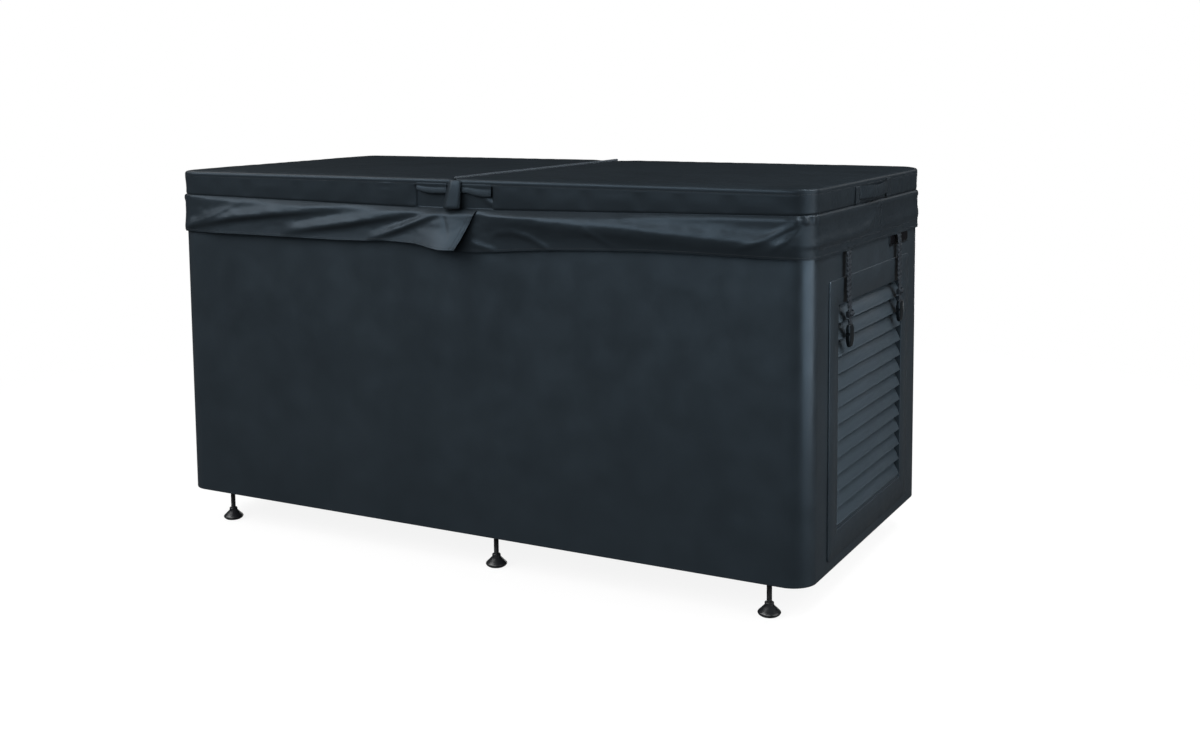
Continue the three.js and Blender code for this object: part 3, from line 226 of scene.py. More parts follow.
def eased(piece, width, segments=2, angle=40):
    bevel = piece.modifiers.new("eased_edges", "BEVEL")
    bevel.width = width
    bevel.segments = segments
    bevel.limit_method = "ANGLE"
    bevel.angle_limit = math.radians(angle)
    return settle(piece)


def thickened(piece, thickness):
    """Gives a sheet its thickness, grown inwards from its outer face."""
    wall = piece.modifiers.new("thickness", "SOLIDIFY")
    wall.thickness = thickness
    wall.offset = -1
    return settle(piece)


def rounded_off(piece, levels=1):
    finer = piece.modifiers.new("finer", "SUBSURF")
    finer.levels = finer.render_levels = levels
    settle(piece)
    piece.data.shade_smooth()
    return piece


def joined(name, pieces):
    points, faces = [], []
    for piece in pieces:
        start = len(points)
        points += [v.co.copy() for v in piece.data.vertices]
        faces += [tuple(start + i for i in p.vertices) for p in piece.data.polygons]
        bpy.data.objects.remove(piece)
    return made(name, points, faces)


def loft(name, rings, caps=True, tube=False):
    count = len(rings[0])
    points = [p for ring in rings for p in ring]
    faces = grid_faces(len(rings), count, ring=True, tube=tube)
    if caps and not tube:
        faces.append(tuple(range(count))[::-1])
        faces.append(tuple((len(rings) - 1) * count + i for i in range(count)))
    return made(name, points, faces)


def swept(name, rows, around, point):
    """A solid lofted through closed rings: point(row, angle) gives a ring's points."""
    angles = [2 * math.pi * step / around for step in range(around)]
    return loft(name, [[point(row, angle) for angle in angles] for row in rows])


def boxy(value, power):
    """Pushes a sine or cosine outwards, so that a round section turns square."""
    return math.copysign(abs(value) ** power, value)


def rounded(a0, a1, b0, b1, radius, steps=8):
    """Points of a rounded rectangle, the same number at every size."""
    left, right, low, high = a0 + radius, a1 - radius, b0 + radius, b1 - radius
    points = []
    for a, b, start in ((right, high, 0), (left, high, 90), (left, low, 180), (right, low, 270)):
        for step in range(steps + 1):
            angle = math.radians(start + 90 * step / steps)
            points.append((a + radius * math.cos(angle), b + radius * math.sin(angle)))
    return points


def on_end(outline, x):
    return [(x, a, b) for a, b in outline]


def on_back(outline, y):
    return [(a, y, b) for a, b in outline]


def on_level(outline, z):
    return [(a, b, z) for a, b in outline]


def turned(name, profile, place, axis="Z", steps=48):
    """A solid of revolution from (radius, height) points."""
    def point(row, angle):
        radius, height = row
        a, b = radius * math.cos(angle), radius * math.sin(angle)
        spot = {"X": (height, a, b), "Y": (a, height, b), "Z": (a, b, height)}[axis]
        return Vector(spot) + Vector(place)

    return swept(name, profile, steps, point)


def cut(piece, cutter):
    hole = piece.modifiers.new("cut_out", "BOOLEAN")
    hole.operation = "DIFFERENCE"
    hole.solver = "EXACT"
    hole.object = cutter
    settle(piece)
    bpy.data.objects.remove(cutter)
    return piece


def keep(piece, body, finish, *nodes, slot=None):
    piece.data.materials.clear()
    piece.data.materials.append(FINISHES[finish])
    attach(piece, body)
    slot or finish
    if nodes:
        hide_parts(*nodes)
    return piece


def refined(node, finish, bevel, sharp=40):
    """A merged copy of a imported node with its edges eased."""
    source = frame["nodes"][node]
    piece = bpy.data.objects.new(node + "_finished", source.data.copy())
    bpy.context.collection.objects.link(piece)
    work = bmesh.new()
    work.from_mesh(piece.data)
    bmesh.ops.remove_doubles(work, verts=work.verts, dist=1e-5)
    flat = math.radians(1)
    bmesh.ops.dissolve_limit(work, angle_limit=flat, verts=work.verts, edges=work.edges)
    work.to_mesh(piece.data)
    work.free()
    own_normals = piece.data.attributes.get("custom_normal")
    if own_normals:
        piece.data.attributes.remove(own_normals)
    eased(piece, bevel, angle=sharp)
    return keep(shaded(piece, sharp), source["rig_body"], finish, node)


# Finishes

FINISHES = {}
COOL_GLOSS = (0.52, 0.76, 1.0)
PLAIN_GLOSS = (1.0, 1.0, 1.0)


def add_node(tree, kind, links=(), **values):
    """Adds a node, sets its inputs by name and joins up its (input, socket or value) pairs."""
    added = tree.nodes.new(kind)
    for name, value in values.items():
        if name in added.bl_rna.properties:
            setattr(added, name, value)
        else:
            added.inputs[name.replace("_", " ").title()].default_value = value
    for name, source in links:
        if isinstance(source, float):
            added.inputs[name].default_value = source
        else:
            tree.links.new(source, added.inputs[name])
    return added


def combined(tree, operation, first, second):
    both = [(0, first), (1, second)]
    return add_node(tree, "ShaderNodeMath", both, operation=operation).outputs[0]


def ranged(tree, source, low, high, from_low=0.3, from_high=0.7):
    ends = {"from_min": from_low, "from_max": from_high, "to_min": low, "to_max": high}
    return add_node(tree, "ShaderNodeMapRange", [("Value", source)], **ends).outputs["Result"]


def mixed(tree, factor, dark, light):
    blend = add_node(tree, "ShaderNodeMix", [("Factor", factor)], data_type="RGBA")
    colours = [s for s in blend.inputs if s.type == "RGBA"]
    for socket, value in zip(colours, (dark, light)):
        if isinstance(value, tuple):
            socket.default_value = (*value, 1.0)
        else:
            tree.links.new(value, socket)
    return [s for s in blend.outputs if s.type == "RGBA"][0]


def tinted(colour, share):
    return tuple(min(1.0, c * share) for c in colour)


def cloudy(tree, place, scale, detail):
    clouds = add_node(tree, "ShaderNodeTexNoise", [("Vector", place)], scale=scale, detail=detail)
    return clouds.outputs["Fac"]


def finish_of(
    name, colour, roughness, grain=(900.0, 0.15 * MM), mottle=(7.0, 0.15), specular=0.2, metallic=0.0,
    cells=False, dents=None, wear=0.0, coat=0.0, tint=PLAIN_GLOSS, stretch=(1.0, 1.0, 1.0),
):
    """A moulded, painted or coated surface: mottled colour, uneven gloss and a fine grain.

    Grain and dents are (scale, depth), mottle is (scale, share of the colour), and wear is how
    far the edges are rubbed lighter.
    """
    material = FINISHES[name] = bpy.data.materials.new(name)
    material.use_nodes = True
    tree = material.node_tree
    skin = tree.nodes["Principled BSDF"]
    skin.inputs["Specular IOR Level"].default_value = specular
    skin.inputs["Specular Tint"].default_value = (*tint, 1.0)
    skin.inputs["Metallic"].default_value = metallic
    skin.inputs["Coat Weight"].default_value = coat
    skin.inputs["Coat Roughness"].default_value = 0.25
    place = add_node(tree, "ShaderNodeTexCoord").outputs["Object"]
    drawn = add_node(tree, "ShaderNodeMapping", [("Vector", place)], scale=stretch).outputs[0]
    patches = ranged(tree, cloudy(tree, place, mottle[0], 4.0), 0.0, 1.0)
    shade = mixed(tree, patches, tinted(colour, 1 - mottle[1]), tinted(colour, 1 + mottle[1]))
    if wear:
        rub = add_node(tree, "ShaderNodeNewGeometry").outputs["Pointiness"]
        rubbed = ranged(tree, rub, 0.0, wear, 0.51, 0.60)
        shade = mixed(tree, rubbed, shade, tinted(colour, 2.6))
    tree.links.new(shade, skin.inputs["Base Color"])
    gloss = cloudy(tree, place, mottle[0] * 3.1, 5.0)
    uneven = ranged(tree, gloss, roughness - 0.06, roughness + 0.06)
    tree.links.new(uneven, skin.inputs["Roughness"])
    if cells:
        pores = add_node(tree, "ShaderNodeTexVoronoi", [("Vector", drawn)], scale=grain[0])
        fine = pores.outputs["Distance"]
    else:
        fine = cloudy(tree, drawn, grain[0], 3.0)
    relief = add_node(tree, "ShaderNodeBump", [("Height", fine)], strength=0.6, distance=grain[1])
    if dents:
        soft = cloudy(tree, place, dents[0], 2.0)
        wide = add_node(tree, "ShaderNodeBump", [("Height", soft)], strength=1.0, distance=dents[1])
        tree.links.new(wide.outputs["Normal"], relief.inputs["Normal"])
    tree.links.new(relief.outputs["Normal"], skin.inputs["Normal"])
    return tree


finish_of(
    "cabinet_panel", (0.0130, 0.0173, 0.0212), 0.35, grain=(1600.0, 0.06 * MM), mottle=(5.0, 0.10),
    specular=0.50, wear=0.25, dents=(6.0, 0.1 * MM), tint=COOL_GLOSS,
)
# The louvre blades' finish: the cabinet panel's finish made about twice as light, painted light for the
# light the upward-facing blades catch.
finish_of(
    "painted_light_louvre_blade", (0.0238, 0.0322, 0.0398), 0.38, grain=(1600.0, 0.06 * MM), mottle=(5.0, 0.10),
    specular=0.17, wear=0.25, tint=COOL_GLOSS,
)
finish_of(
    "vinyl", (0.0117, 0.0157, 0.0194), 0.36, grain=(1150.0, 0.10 * MM), mottle=(6.0, 0.10), specular=0.15,
    cells=True, dents=(9.0, 0.03 * MM), tint=COOL_GLOSS,
)
# The fold piping's finish: the vinyl made about four times as light, a painted highlight for the bright
# line along the fold.
finish_of("piping_painted_highlight", (0.046, 0.057, 0.068), 0.45, grain=(1150.0, 0.08 * MM), specular=0.15, cells=True)
finish_of("thread", (0.030, 0.035, 0.041), 0.7, grain=(2600.0, 0.1 * MM), specular=0.15)
finish_of(
    "black_plastic", (0.0048, 0.0058, 0.0068), 0.32, grain=(1400.0, 0.05 * MM), specular=0.25,
    tint=COOL_GLOSS,
)
finish_of(
    "black_glass", (0.004, 0.004, 0.005), 0.16, grain=(60.0, 0.02 * MM), mottle=(12.0, 0.1),
    specular=0.03, tint=COOL_GLOSS,
)
finish_of(
    "acrylic", (0.50, 0.52, 0.53), 0.20, grain=(30.0, 0.2 * MM), mottle=(3.0, 0.02), specular=0.5,
    coat=0.4,
)
finish_of(
    "foam", (0.62, 0.55, 0.34), 0.85, grain=(220.0, 0.8 * MM), mottle=(14.0, 0.2), specular=0.1,
    cells=True,
)
finish_of(
    "steel", (0.42, 0.44, 0.46), 0.36, grain=(260.0, 0.05 * MM), mottle=(9.0, 0.12), metallic=1.0,
    stretch=(1, 1, 14),
)
finish_of("rubber", (0.011, 0.012, 0.014), 0.36, grain=(900.0, 0.05 * MM), specular=0.4)
finish_of("cast_black", (0.012, 0.013, 0.014), 0.55, grain=(420.0, 0.25 * MM), specular=0.3)
finish_of("grey_plastic", (0.15, 0.17, 0.18), 0.45, grain=(1200.0, 0.06 * MM), specular=0.35)


YARNS_PER_M = 190.0
YARN_RELIEF = 0.35 * MM


def webbing_finish():
    """Woven strap: crossing yarns on the strap's own width and length."""
    tree = finish_of("webbing", (0.016, 0.019, 0.023), 0.50, specular=0.14, tint=COOL_GLOSS)
    found = {n.bl_idname: n for n in tree.nodes}
    place = found["ShaderNodeTexCoord"].outputs["Object"]
    yarns = []
    for direction in ("Y", "Z"):
        wave = {"wave_type": "BANDS", "bands_direction": direction, "scale": YARNS_PER_M}
        yarn = add_node(tree, "ShaderNodeTexWave", [("Vector", place)], **wave)
        yarns.append(yarn.outputs["Fac"])
    relief = found["ShaderNodeBump"]
    relief.inputs["Distance"].default_value = YARN_RELIEF
    tree.links.new(combined(tree, "MAXIMUM", *yarns), relief.inputs["Height"])


webbing_finish()


# Straps: the cords of this part

STRAP_WIDTH = 25 * MM
STRAP_LENGTH = 158 * MM
STRAP_Y = 185 * MM
RIB_PITCH = 11 * MM
STRAP_STEPS = 132
ADJUSTER_PLACE = 0.86
# How far a strap leans out as it hangs and how it wavers, in mm
STRAP_LEAN, WAVER_OUT, WAVER_ACROSS = 3.5, 0.5, 1.2


def strap_spot(node, share):
    """A point down the strap: it leans a little outwards and wavers as it hangs."""
    low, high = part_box(node)
    side = 1 if low[0] > 0 else -1
    row = 1 if low[1] > 0 else -1
    x = (low[0] + high[0]) / 2 + side * (STRAP_LEAN * share + WAVER_OUT * math.sin(9 * share)) * MM
    y = (low[1] + high[1]) / 2 + row * WAVER_ACROSS * math.sin(4.5 * share) * MM
    return Vector((x, y, high[2] + 0.8 * MM - STRAP_LENGTH * share))


def strap_mesh(node):
    """Ribbed webbing, twisted a little as it hangs."""

    def point(row, angle):
        share, spot = row
        twist = 0.10 * math.sin(5 * share) * share
        across = STRAP_WIDTH / 2 * boxy(math.cos(angle), 0.35)
        run = share * STRAP_LENGTH + 0.22 * across
        rib = math.sin(math.pi * run / RIB_PITCH) ** 2
        through = (0.7 + 1.7 * rib) * MM * boxy(math.sin(angle), 0.6)
        x = spot.x + through * math.cos(twist) + across * math.sin(twist)
        y = spot.y + across * math.cos(twist) - through * math.sin(twist)
        return (x, y, spot.z)

    shares = [step / STRAP_STEPS for step in range(STRAP_STEPS + 1)]
    rows = [(share, strap_spot(node, share)) for share in shares]
    return tidy(swept(node.replace("strap", "hanging_strap"), rows, 14, point), 50)


SEWN_PATH = ((854.0, 779.0), (854.3, 772.0), (855.2, 766.8), (857.0, 764.0), (859.0, 762.6))


SEWN_STEPS = 24


def sewn_end(node):
    """The strap's end sewn behind the skirt's hem, turned out to where the strap swings."""
    low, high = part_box(node)
    side = 1 if low[0] > 0 else -1
    middle = (low[1] + high[1]) / 2
    rings = []
    stops = range(len(SEWN_PATH))
    for step in range(SEWN_STEPS + 1):
        place = stops[-1] * step / SEWN_STEPS
        x, z = (np.interp(place, stops, [p[i] for p in SEWN_PATH]) for i in (0, 1))
        outline = rounded(-STRAP_WIDTH / 2, STRAP_WIDTH / 2, -0.8 * MM, 0.8 * MM, 0.7 * MM, 3)
        rings.append([(side * (x * MM + b), middle + a, z * MM + 0.4 * b) for a, b in outline])
    return tidy(loft(node.replace("strap", "strap_sewn_end"), rings), 50)


BUCKLE_PROFILE = (
    (0.00, 24, 6), (0.03, 27, 8), (0.10, 30, 9.5), (0.16, 32.5, 10.6), (0.45, 33, 11), (0.70, 31, 10.6),
    (0.86, 27, 9.5), (0.95, 21, 7.5), (1.00, 16, 5),
)


BUCKLE_RIB, RIB_PLACE, RIB_WIDTH = 1.1, 7, 1.6
NOTCH_RADIUS, NOTCH_OUT, NOTCH_DOWN = 5.5 * MM, 19.5 * MM, 0.42


def buckle_mesh(node, centre):
    """A side-release catch: tapered body, two ribs down its face and a waist at each side."""
    low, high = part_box(node)
    side = 1 if low[0] > 0 else -1
    top = high[2] + 1 * MM
    height = high[2] - low[2]
    def point(row, angle):
        share, wide, deep = row
        y = wide / 2 * boxy(math.cos(angle), 0.45)
        x = deep / 2 * boxy(math.sin(angle), 0.45)
        if 0.1 < share < 0.9 and x * side > 0:
            x += side * BUCKLE_RIB * hump(abs(y) - RIB_PLACE, RIB_WIDTH)
        return (centre.x + x * MM, centre.y + y * MM, top - height * share)

    body = rounded_off(swept(node + "_body", BUCKLE_PROFILE, 40, point))
    for row in (-1, 1):
        waist = (centre.x, centre.y + row * NOTCH_OUT, top - NOTCH_DOWN * height)
        notch = turned("notch", [(NOTCH_RADIUS, -8 * MM), (NOTCH_RADIUS, 8 * MM)], waist, "X", 24)
        cut(tidy(body), tidy(notch))
    return tidy(body, 40)


ROLL_PROFILE = ((-13, 2.5), (-12.5, 4), (-11, 4.6), (0, 5.0), (11, 4.6), (12.5, 4), (13, 2.5))


CHEEK_INNER, CHEEK_OUTER = 13.2 * MM, 16 * MM
CHEEK_DEEP, CHEEK_TALL = 4 * MM, 7 * MM


def adjuster_mesh(node, spot):
    """The strap's tail rolled over the adjuster's bar, between its two cheeks."""
    side = 1 if spot.x > 0 else -1

    def point(row, angle):
        y, radius = row[0] * MM, row[1] * MM
        x = spot.x + side * 2.2 * MM + radius * 0.95 * math.cos(angle)
        return (x, spot.y + y, spot.z + radius * math.sin(angle))

    roll = swept(node + "_roll", ROLL_PROFILE, 20, point)
    across, up = (spot.x - CHEEK_DEEP, spot.x + CHEEK_DEEP), (spot.z - CHEEK_TALL, spot.z + CHEEK_TALL)
    outline = rounded(*across, *up, 3 * MM)
    cheeks = []
    for row in (-1, 1):
        faces = (spot.y + row * CHEEK_INNER, spot.y + row * CHEEK_OUTER)
        cheek = tidy(loft("cheek", [on_back(outline, y) for y in faces]))
        cheeks.append(eased(cheek, 0.8 * MM))
    return tidy(joined(node + "_adjuster", [roll, *cheeks]), 40)


for end in ("right", "left"):
    for row in ("front", "back"):
        strap_node = f"strap_{end}_{row}"
        buckle_node = f"buckle_{end}_{row}"
        body = f"{end}_{row}_strap"
        strap = keep(strap_mesh(strap_node), body, "webbing", strap_node)
        tip = strap_spot(strap_node, 1.0)
        buckle = keep(buckle_mesh(buckle_node, tip), body, "black_plastic", buckle_node)
        slide = adjuster_mesh(buckle_node, strap_spot(strap_node, ADJUSTER_PLACE))
        keep(sewn_end(strap_node), f"cover_{end}", "webbing")
        keep(slide, body, "webbing")


# Rows of like shapes: stitches and slats


def new_tree(name, inputs):
    tree = bpy.data.node_groups.new(name, "GeometryNodeTree")
    tree.interface.new_socket("Geometry", in_out="INPUT", socket_type="NodeSocketGeometry")
    for label, kind in inputs:
        tree.interface.new_socket(label, in_out="INPUT", socket_type="NodeSocket" + kind)
    tree.interface.new_socket("Geometry", in_out="OUTPUT", socket_type="NodeSocketGeometry")
    return tree, tree.nodes.new("NodeGroupInput").outputs, tree.nodes.new("NodeGroupOutput")


def end_tree(tree, laid, finish, result):
    """Ends a tree: its instances made real and given their finish."""
    real = add_node(tree, "GeometryNodeRealizeInstances", [("Geometry", laid.outputs["Instances"])])
    painted = add_node(
        tree, "GeometryNodeSetMaterial", [("Geometry", real.outputs["Geometry"]), ("Material", finish)],
    )
    tree.links.new(painted.outputs["Geometry"], result.inputs["Geometry"])
    return tree


def stitch_tree():
    """Beads of thread laid along a line, each turned to the line."""
    sizes = [("Pitch", "Float"), ("Length", "Float"), ("Width", "Float"), ("Thread", "Material")]
    tree, given, result = new_tree("stitch_row", sizes)
    line = add_node(tree, "GeometryNodeMeshToCurve", [("Mesh", given["Geometry"])])
    spaced = add_node(
        tree, "GeometryNodeResampleCurve", [("Curve", line.outputs["Curve"]), ("Length", given["Pitch"])],
        mode="LENGTH",
    )
    bead = add_node(tree, "GeometryNodeMeshUVSphere", segments=6, rings=4, radius=0.5)
    size = add_node(
        tree, "ShaderNodeCombineXYZ",
        [("X", given["Length"]), ("Y", given["Width"]), ("Z", given["Width"])],
    )
    tangent = add_node(tree, "GeometryNodeInputTangent").outputs["Tangent"]
    turn = add_node(tree, "FunctionNodeAlignRotationToVector", [("Vector", tangent)], axis="X")
    laid = add_node(
        tree, "GeometryNodeInstanceOnPoints",
        [
            ("Points", spaced.outputs["Curve"]), ("Instance", bead.outputs["Mesh"]),
            ("Rotation", turn.outputs["Rotation"]), ("Scale", size.outputs["Vector"]),
        ],
    )
    return end_tree(tree, laid, given["Thread"], result)


def bank_tree():
    """One shape repeated at a steady step."""
    sizes = [("Count", "Int"), ("Step", "Vector"), ("Finish", "Material")]
    tree, given, result = new_tree("bank", sizes)
    line = add_node(tree, "GeometryNodeMeshLine", [("Count", given["Count"]), ("Offset", given["Step"])])
    laid = add_node(
        tree, "GeometryNodeInstanceOnPoints",
        [("Points", line.outputs["Mesh"]), ("Instance", given["Geometry"])],
    )
    return end_tree(tree, laid, given["Finish"], result)


STITCH_TREE = stitch_tree()
BANK_TREE = bank_tree()


def grown(piece, tree, **sizes):
    """Runs a tree on the piece with these inputs and keeps the result as a plain mesh."""
    growth = piece.modifiers.new(tree.name, "NODES")
    growth.node_group = tree
    for socket in tree.interface.items_tree:
        if socket.in_out == "INPUT" and socket.name in sizes:
            growth[socket.identifier] = sizes[socket.name]
    return settle(piece)


def stitched(name, lines, body, pitch=5.0 * MM, length=3.6 * MM, width=0.9 * MM):
    points, edges = [], []
    for line in lines:
        start = len(points)
        points += [tuple(p) for p in line]
        edges += [(start + i, start + i + 1) for i in range(len(line) - 1)]
    row = made(name, points, [], edges)
    grown(row, STITCH_TREE, Pitch=pitch, Length=length, Width=width, Thread=FINISHES["thread"])
    row.data.shade_smooth()
    return keep(row, body, "thread", slot="vinyl")


# Cabinet


def cabinet_outline(inset, steps=24):
    return rounded(
        -HALF_LENGTH + inset, HALF_LENGTH - inset, -HALF_WIDTH + inset, HALF_WIDTH - inset,
        CORNER - inset, steps,
    )


def flange_hole(node, axis, radius):
    """The hole in the wall behind a flanged piece."""
    low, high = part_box(node)
    spans = [(low[i] + FLANGE_REACH, high[i] - FLANGE_REACH) for i in (axis, 2)]
    return rounded(*spans[0], *spans[1], radius)


def cabinet_shell():
    """One wrapped wall with eased edges, cut for the vent, panel, drain and inlet."""
    soft = 0.6 * MM
    steps = (
        (SHELL_EDGE, CABINET_BOTTOM), (soft, CABINET_BOTTOM + soft), (0, CABINET_BOTTOM + SHELL_EDGE),
        (0, CABINET_BOTTOM + 2 * SHELL_EDGE), (0, CABINET_TOP - 2 * SHELL_EDGE),
        (0, CABINET_TOP - SHELL_EDGE), (soft, CABINET_TOP - soft), (SHELL_EDGE, CABINET_TOP),
        (SKIN, CABINET_TOP), (SKIN, CABINET_BOTTOM),
    )
    rings = [on_level(cabinet_outline(inset), z) for inset, z in steps]
    shell = tidy(loft("cabinet_wall", rings, tube=True))
    border = VENT_BORDER - SLEEVE_WALL - 1 * MM
    reach = VENT_Y - border
    vent_hole = rounded(-reach, reach, VENT_Z[0] + border, VENT_Z[1] - border, VENT_CORNER)
    through = (HALF_LENGTH - 3 * SKIN, HALF_LENGTH + 3 * SKIN)
    for outline in (vent_hole, flange_hole("control_housing", 1, 4 * MM)):
        cut(shell, tidy(loft("hole", [on_end(outline, x) for x in through])))
    through = (HALF_WIDTH - 3 * SKIN, HALF_WIDTH + 3 * SKIN)
    outline = flange_hole("power_inlet", 0, 3 * MM)
    cut(shell, tidy(loft("hole", [on_back(outline, y) for y in through])))
    low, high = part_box("drain_valve")
    drain = ((low[0] + high[0]) / 2, 0, (low[2] + high[2]) / 2)
    cut(shell, tidy(turned("hole", [(PIPE_HOLE, y) for y in through], drain, "Y")))
    keep(tidy(shell, 30, turn=False), "cabinet", "cabinet_panel", "cabinet_shell")


def tub_ring(grow, z):
    x0, x1, y = TUB_X[0] - grow, TUB_X[1] + grow, TUB_Y + grow
    return on_level(rounded(x0, x1, -y, y, TUB_CORNER + grow, 24), z)


def basin():
    """A moulded basin: deck, rolled lip, rounded floor and the underside."""
    rings = [
        on_level(cabinet_outline(1 * MM), RIM - DECK), on_level(cabinet_outline(1 * MM), RIM - 1.5 * MM),
        on_level(cabinet_outline(2.5 * MM), RIM), tub_ring(9 * MM, RIM),
    ]
    for step in range(7):
        angle = math.radians(15 * step)
        grow = LIP_ROUND * (1 - math.sin(angle))
        rings.append(tub_ring(grow, RIM - LIP_ROUND * (1 - math.cos(angle))))
    for step in range(9):
        angle = math.radians(11.25 * step)
        grow = -TUB_ROUND * (1 - math.cos(angle))
        rings.append(tub_ring(grow, TUB_FLOOR + TUB_ROUND * (1 - math.sin(angle))))
    inside = len(rings)
    for step in range(9):
        angle = math.radians(90 - 11.25 * step)
        grow = TUB_WALL - TUB_ROUND * (1 - math.cos(angle))
        rings.append(tub_ring(grow, TUB_FLOOR - TUB_WALL + TUB_ROUND * (1 - math.sin(angle))))
    rings.append(tub_ring(TUB_WALL, RIM - DECK))
    count = len(rings[0])
    points = [p for ring in rings for p in ring]
    walls = grid_faces(len(rings), count, ring=True, tube=True)
    gap = (inside - 1) * count
    faces = walls[:gap] + walls[gap + count :]
    faces.append(tuple(gap + i for i in range(count)))
    faces.append(tuple(inside * count + i for i in range(count))[::-1])
    tub = tidy(made("basin_moulding", points, faces))
    for axis, wall, place in WALL_HOLES:
        span = [(PIPE_HOLE, wall - 9 * MM), (PIPE_HOLE, wall + 20 * MM)]
        cut(tub, tidy(turned("hole", span, place, axis)))
    keep(tidy(tub, 32, turn=False), "cabinet", "acrylic", "basin")


def vent_frame():
    """A flange with eased edges, the sleeve behind it and the sill under the last slat."""
    reach = VENT_Y - VENT_BORDER
    low, high = VENT_Z[0] + VENT_BORDER, VENT_Z[1] - VENT_BORDER
    steps = (
        (0, END_FACE), (0, VENT_FRONT - 1.4 * MM), (0.4 * MM, VENT_FRONT - 0.5 * MM),
        (1.4 * MM, VENT_FRONT),
    )
    rings = []
    for inset, x in steps:
        y, z = VENT_Y - inset, (VENT_Z[0] + inset, VENT_Z[1] - inset)
        rings.append(on_end(rounded(-y, y, *z, VENT_CORNER - inset), x))
    steps = (
        (1.2 * MM, VENT_FRONT), (0.3 * MM, VENT_FRONT - 0.4 * MM), (0, VENT_FRONT - 1.2 * MM),
        (0, SLEEVE_BACK), (SLEEVE_WALL, SLEEVE_BACK), (SLEEVE_WALL, END_FACE),
    )
    for grow, x in steps:
        y, z = reach + grow, (low - grow, high + grow)
        rings.append(on_end(rounded(-y, y, *z, 1.5 * MM + grow), x))
    bezel = tidy(loft("vent_bezel", rings, tube=True), 50)
    outline = rounded(SLEEVE_BACK, END_FACE, low - 0.5 * MM, low + SILL - 2 * MM, 1.5 * MM, 4)
    ends = (-reach - 0.5 * MM, reach + 0.5 * MM)
    sill = tidy(loft("sill", [on_back(outline, y) for y in ends]))
    surround = tidy(joined("vent_surround", [bezel, sill]), 50)
    keep(surround, "cabinet", "cabinet_panel", "vent_frame")


def louvres():
    """Curved blades with a rounded nose, each hiding the top of the next."""
    low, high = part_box("vent_slat_01")
    pitch = high[2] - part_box("vent_slat_02")[1][2]
    top_x, foot_x = low[0] + 2.4 * MM, high[0]
    bend = ((top_x + foot_x) / 2 + 4 * MM, (low[2] + high[2]) / 2 + 4 * MM)
    face = []
    for step in range(13):
        t = step / 12
        x = (1 - t) ** 2 * top_x + 2 * t * (1 - t) * bend[0] + t * t * foot_x
        z = (1 - t) ** 2 * high[2] + 2 * t * (1 - t) * bend[1] + t * t * low[2]
        face.append((x, z))
    nose = [(foot_x + 0.5 * MM, low[2] - 0.6 * MM), (foot_x - 0.4 * MM, low[2] - 1.4 * MM)]
    inner = [(x - 2.4 * MM, z) for x, z in face[::-1]]
    section = face + nose + inner
    ends = ((-high[1], 0.25), (-high[1] + 0.5 * MM, 0), (high[1] - 0.5 * MM, 0), (high[1], 0.25))
    rings = [[(x - draw * MM, y, z) for x, z in section] for y, draw in ends]
    blade = tidy(loft("louvre_blades", rings), 40)
    # The blades take the lighter copy of the panel's finish, which is painted light; the panel's finish
    # stays their slot.
    finish, step = FINISHES["painted_light_louvre_blade"], (0.0, 0.0, -pitch)
    grown(blade, BANK_TREE, Count=SLAT_COUNT, Step=step, Finish=finish)
    nodes = [f"vent_slat_{i + 1:02d}" for i in range(SLAT_COUNT)]
    keep(shaded(blade, 40), "cabinet", "painted_light_louvre_blade", *nodes, slot="cabinet_panel")


def control_panel():
    """A bezel round a touch glass set just under its face."""
    low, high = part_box("control_housing")
    front = high[0]

    def built(name, *steps):
        rings = []
        for inset, x in steps:
            y, z = ((low[i] + inset * MM, high[i] - inset * MM) for i in (1, 2))
            rings.append(on_end(rounded(*y, *z, max(8 * MM - inset * MM, 1 * MM)), x))
        return tidy(loft(name, rings), 40)

    bezel = built(
        "control_bezel", (7, low[0]), (7, END_FACE), (0, END_FACE), (0, front - 1.2 * MM),
        (0.5, front - 0.4 * MM), (1.4, front), (3.4, front), (3.8, front - 0.5 * MM),
        (3.8, front - 1.4 * MM),
    )
    keep(bezel, "cabinet", "black_plastic", "control_housing")
    glass = built(
        "control_touch_glass", (4.2, front - 1.3 * MM), (4.2, front - 0.5 * MM), (4.7, front - 0.1 * MM),
        (6, front),
    )
    keep(glass, "cabinet", "black_glass", "control_glass")


FOOT_PROFILE = (
    (0.0, 0.0), (17.0, 0.0), (19.0, 0.6), (22.5, 3.0), (24.3, 5.2), (25.0, 7.2), (24.6, 8.8),
    (23.2, 10.6), (19.0, 14.6), (15.0, 18.6), (12.8, 21.0), (11.2, 22.4), (10.2, 23.0), (10.0, 24.0),
    (10.0, 28.6), (9.2, 29.8), (6.0, 30.2), (0.0, 30.2),
)


STUD_BOTTOM = 29.5 * MM
THREAD_PITCH, THREAD_STEP = 1.75 * MM, 0.29 * MM
THREAD_RADIUS, THREAD_SLOPE = 6.0, 1.7


def foot(node):
    """A turned pad with a collar, on a threaded stud."""
    low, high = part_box(node)
    place = ((low[0] + high[0]) / 2, (low[1] + high[1]) / 2, low[2])
    profile = [(max(r, 0.05) * MM, h * MM) for r, h in FOOT_PROFILE]
    pad = tidy(turned(node + "_pad", profile, place, steps=56), 28)
    def thread(z, angle):
        wind = (z / THREAD_PITCH - angle / (2 * math.pi)) % 1.0
        radius = (THREAD_RADIUS - THREAD_SLOPE * abs(wind - 0.5)) * MM
        x, y = place[0] + radius * math.cos(angle), place[1] + radius * math.sin(angle)
        return (x, y, place[2] + z)

    length = high[2] - low[2] - STUD_BOTTOM
    levels = int(length / THREAD_STEP)
    heights = [STUD_BOTTOM + length * level / levels for level in range(levels + 1)]
    stud = tidy(swept(node + "_stud", heights, 20, thread), 60)
    keep(pad, node, "rubber", node)
    keep(stud, node, "cast_black", slot="rubber")


cabinet_shell()
basin()
vent_frame()
louvres()
control_panel()
for number in range(1, 7):
    foot(f"foot_{number}")

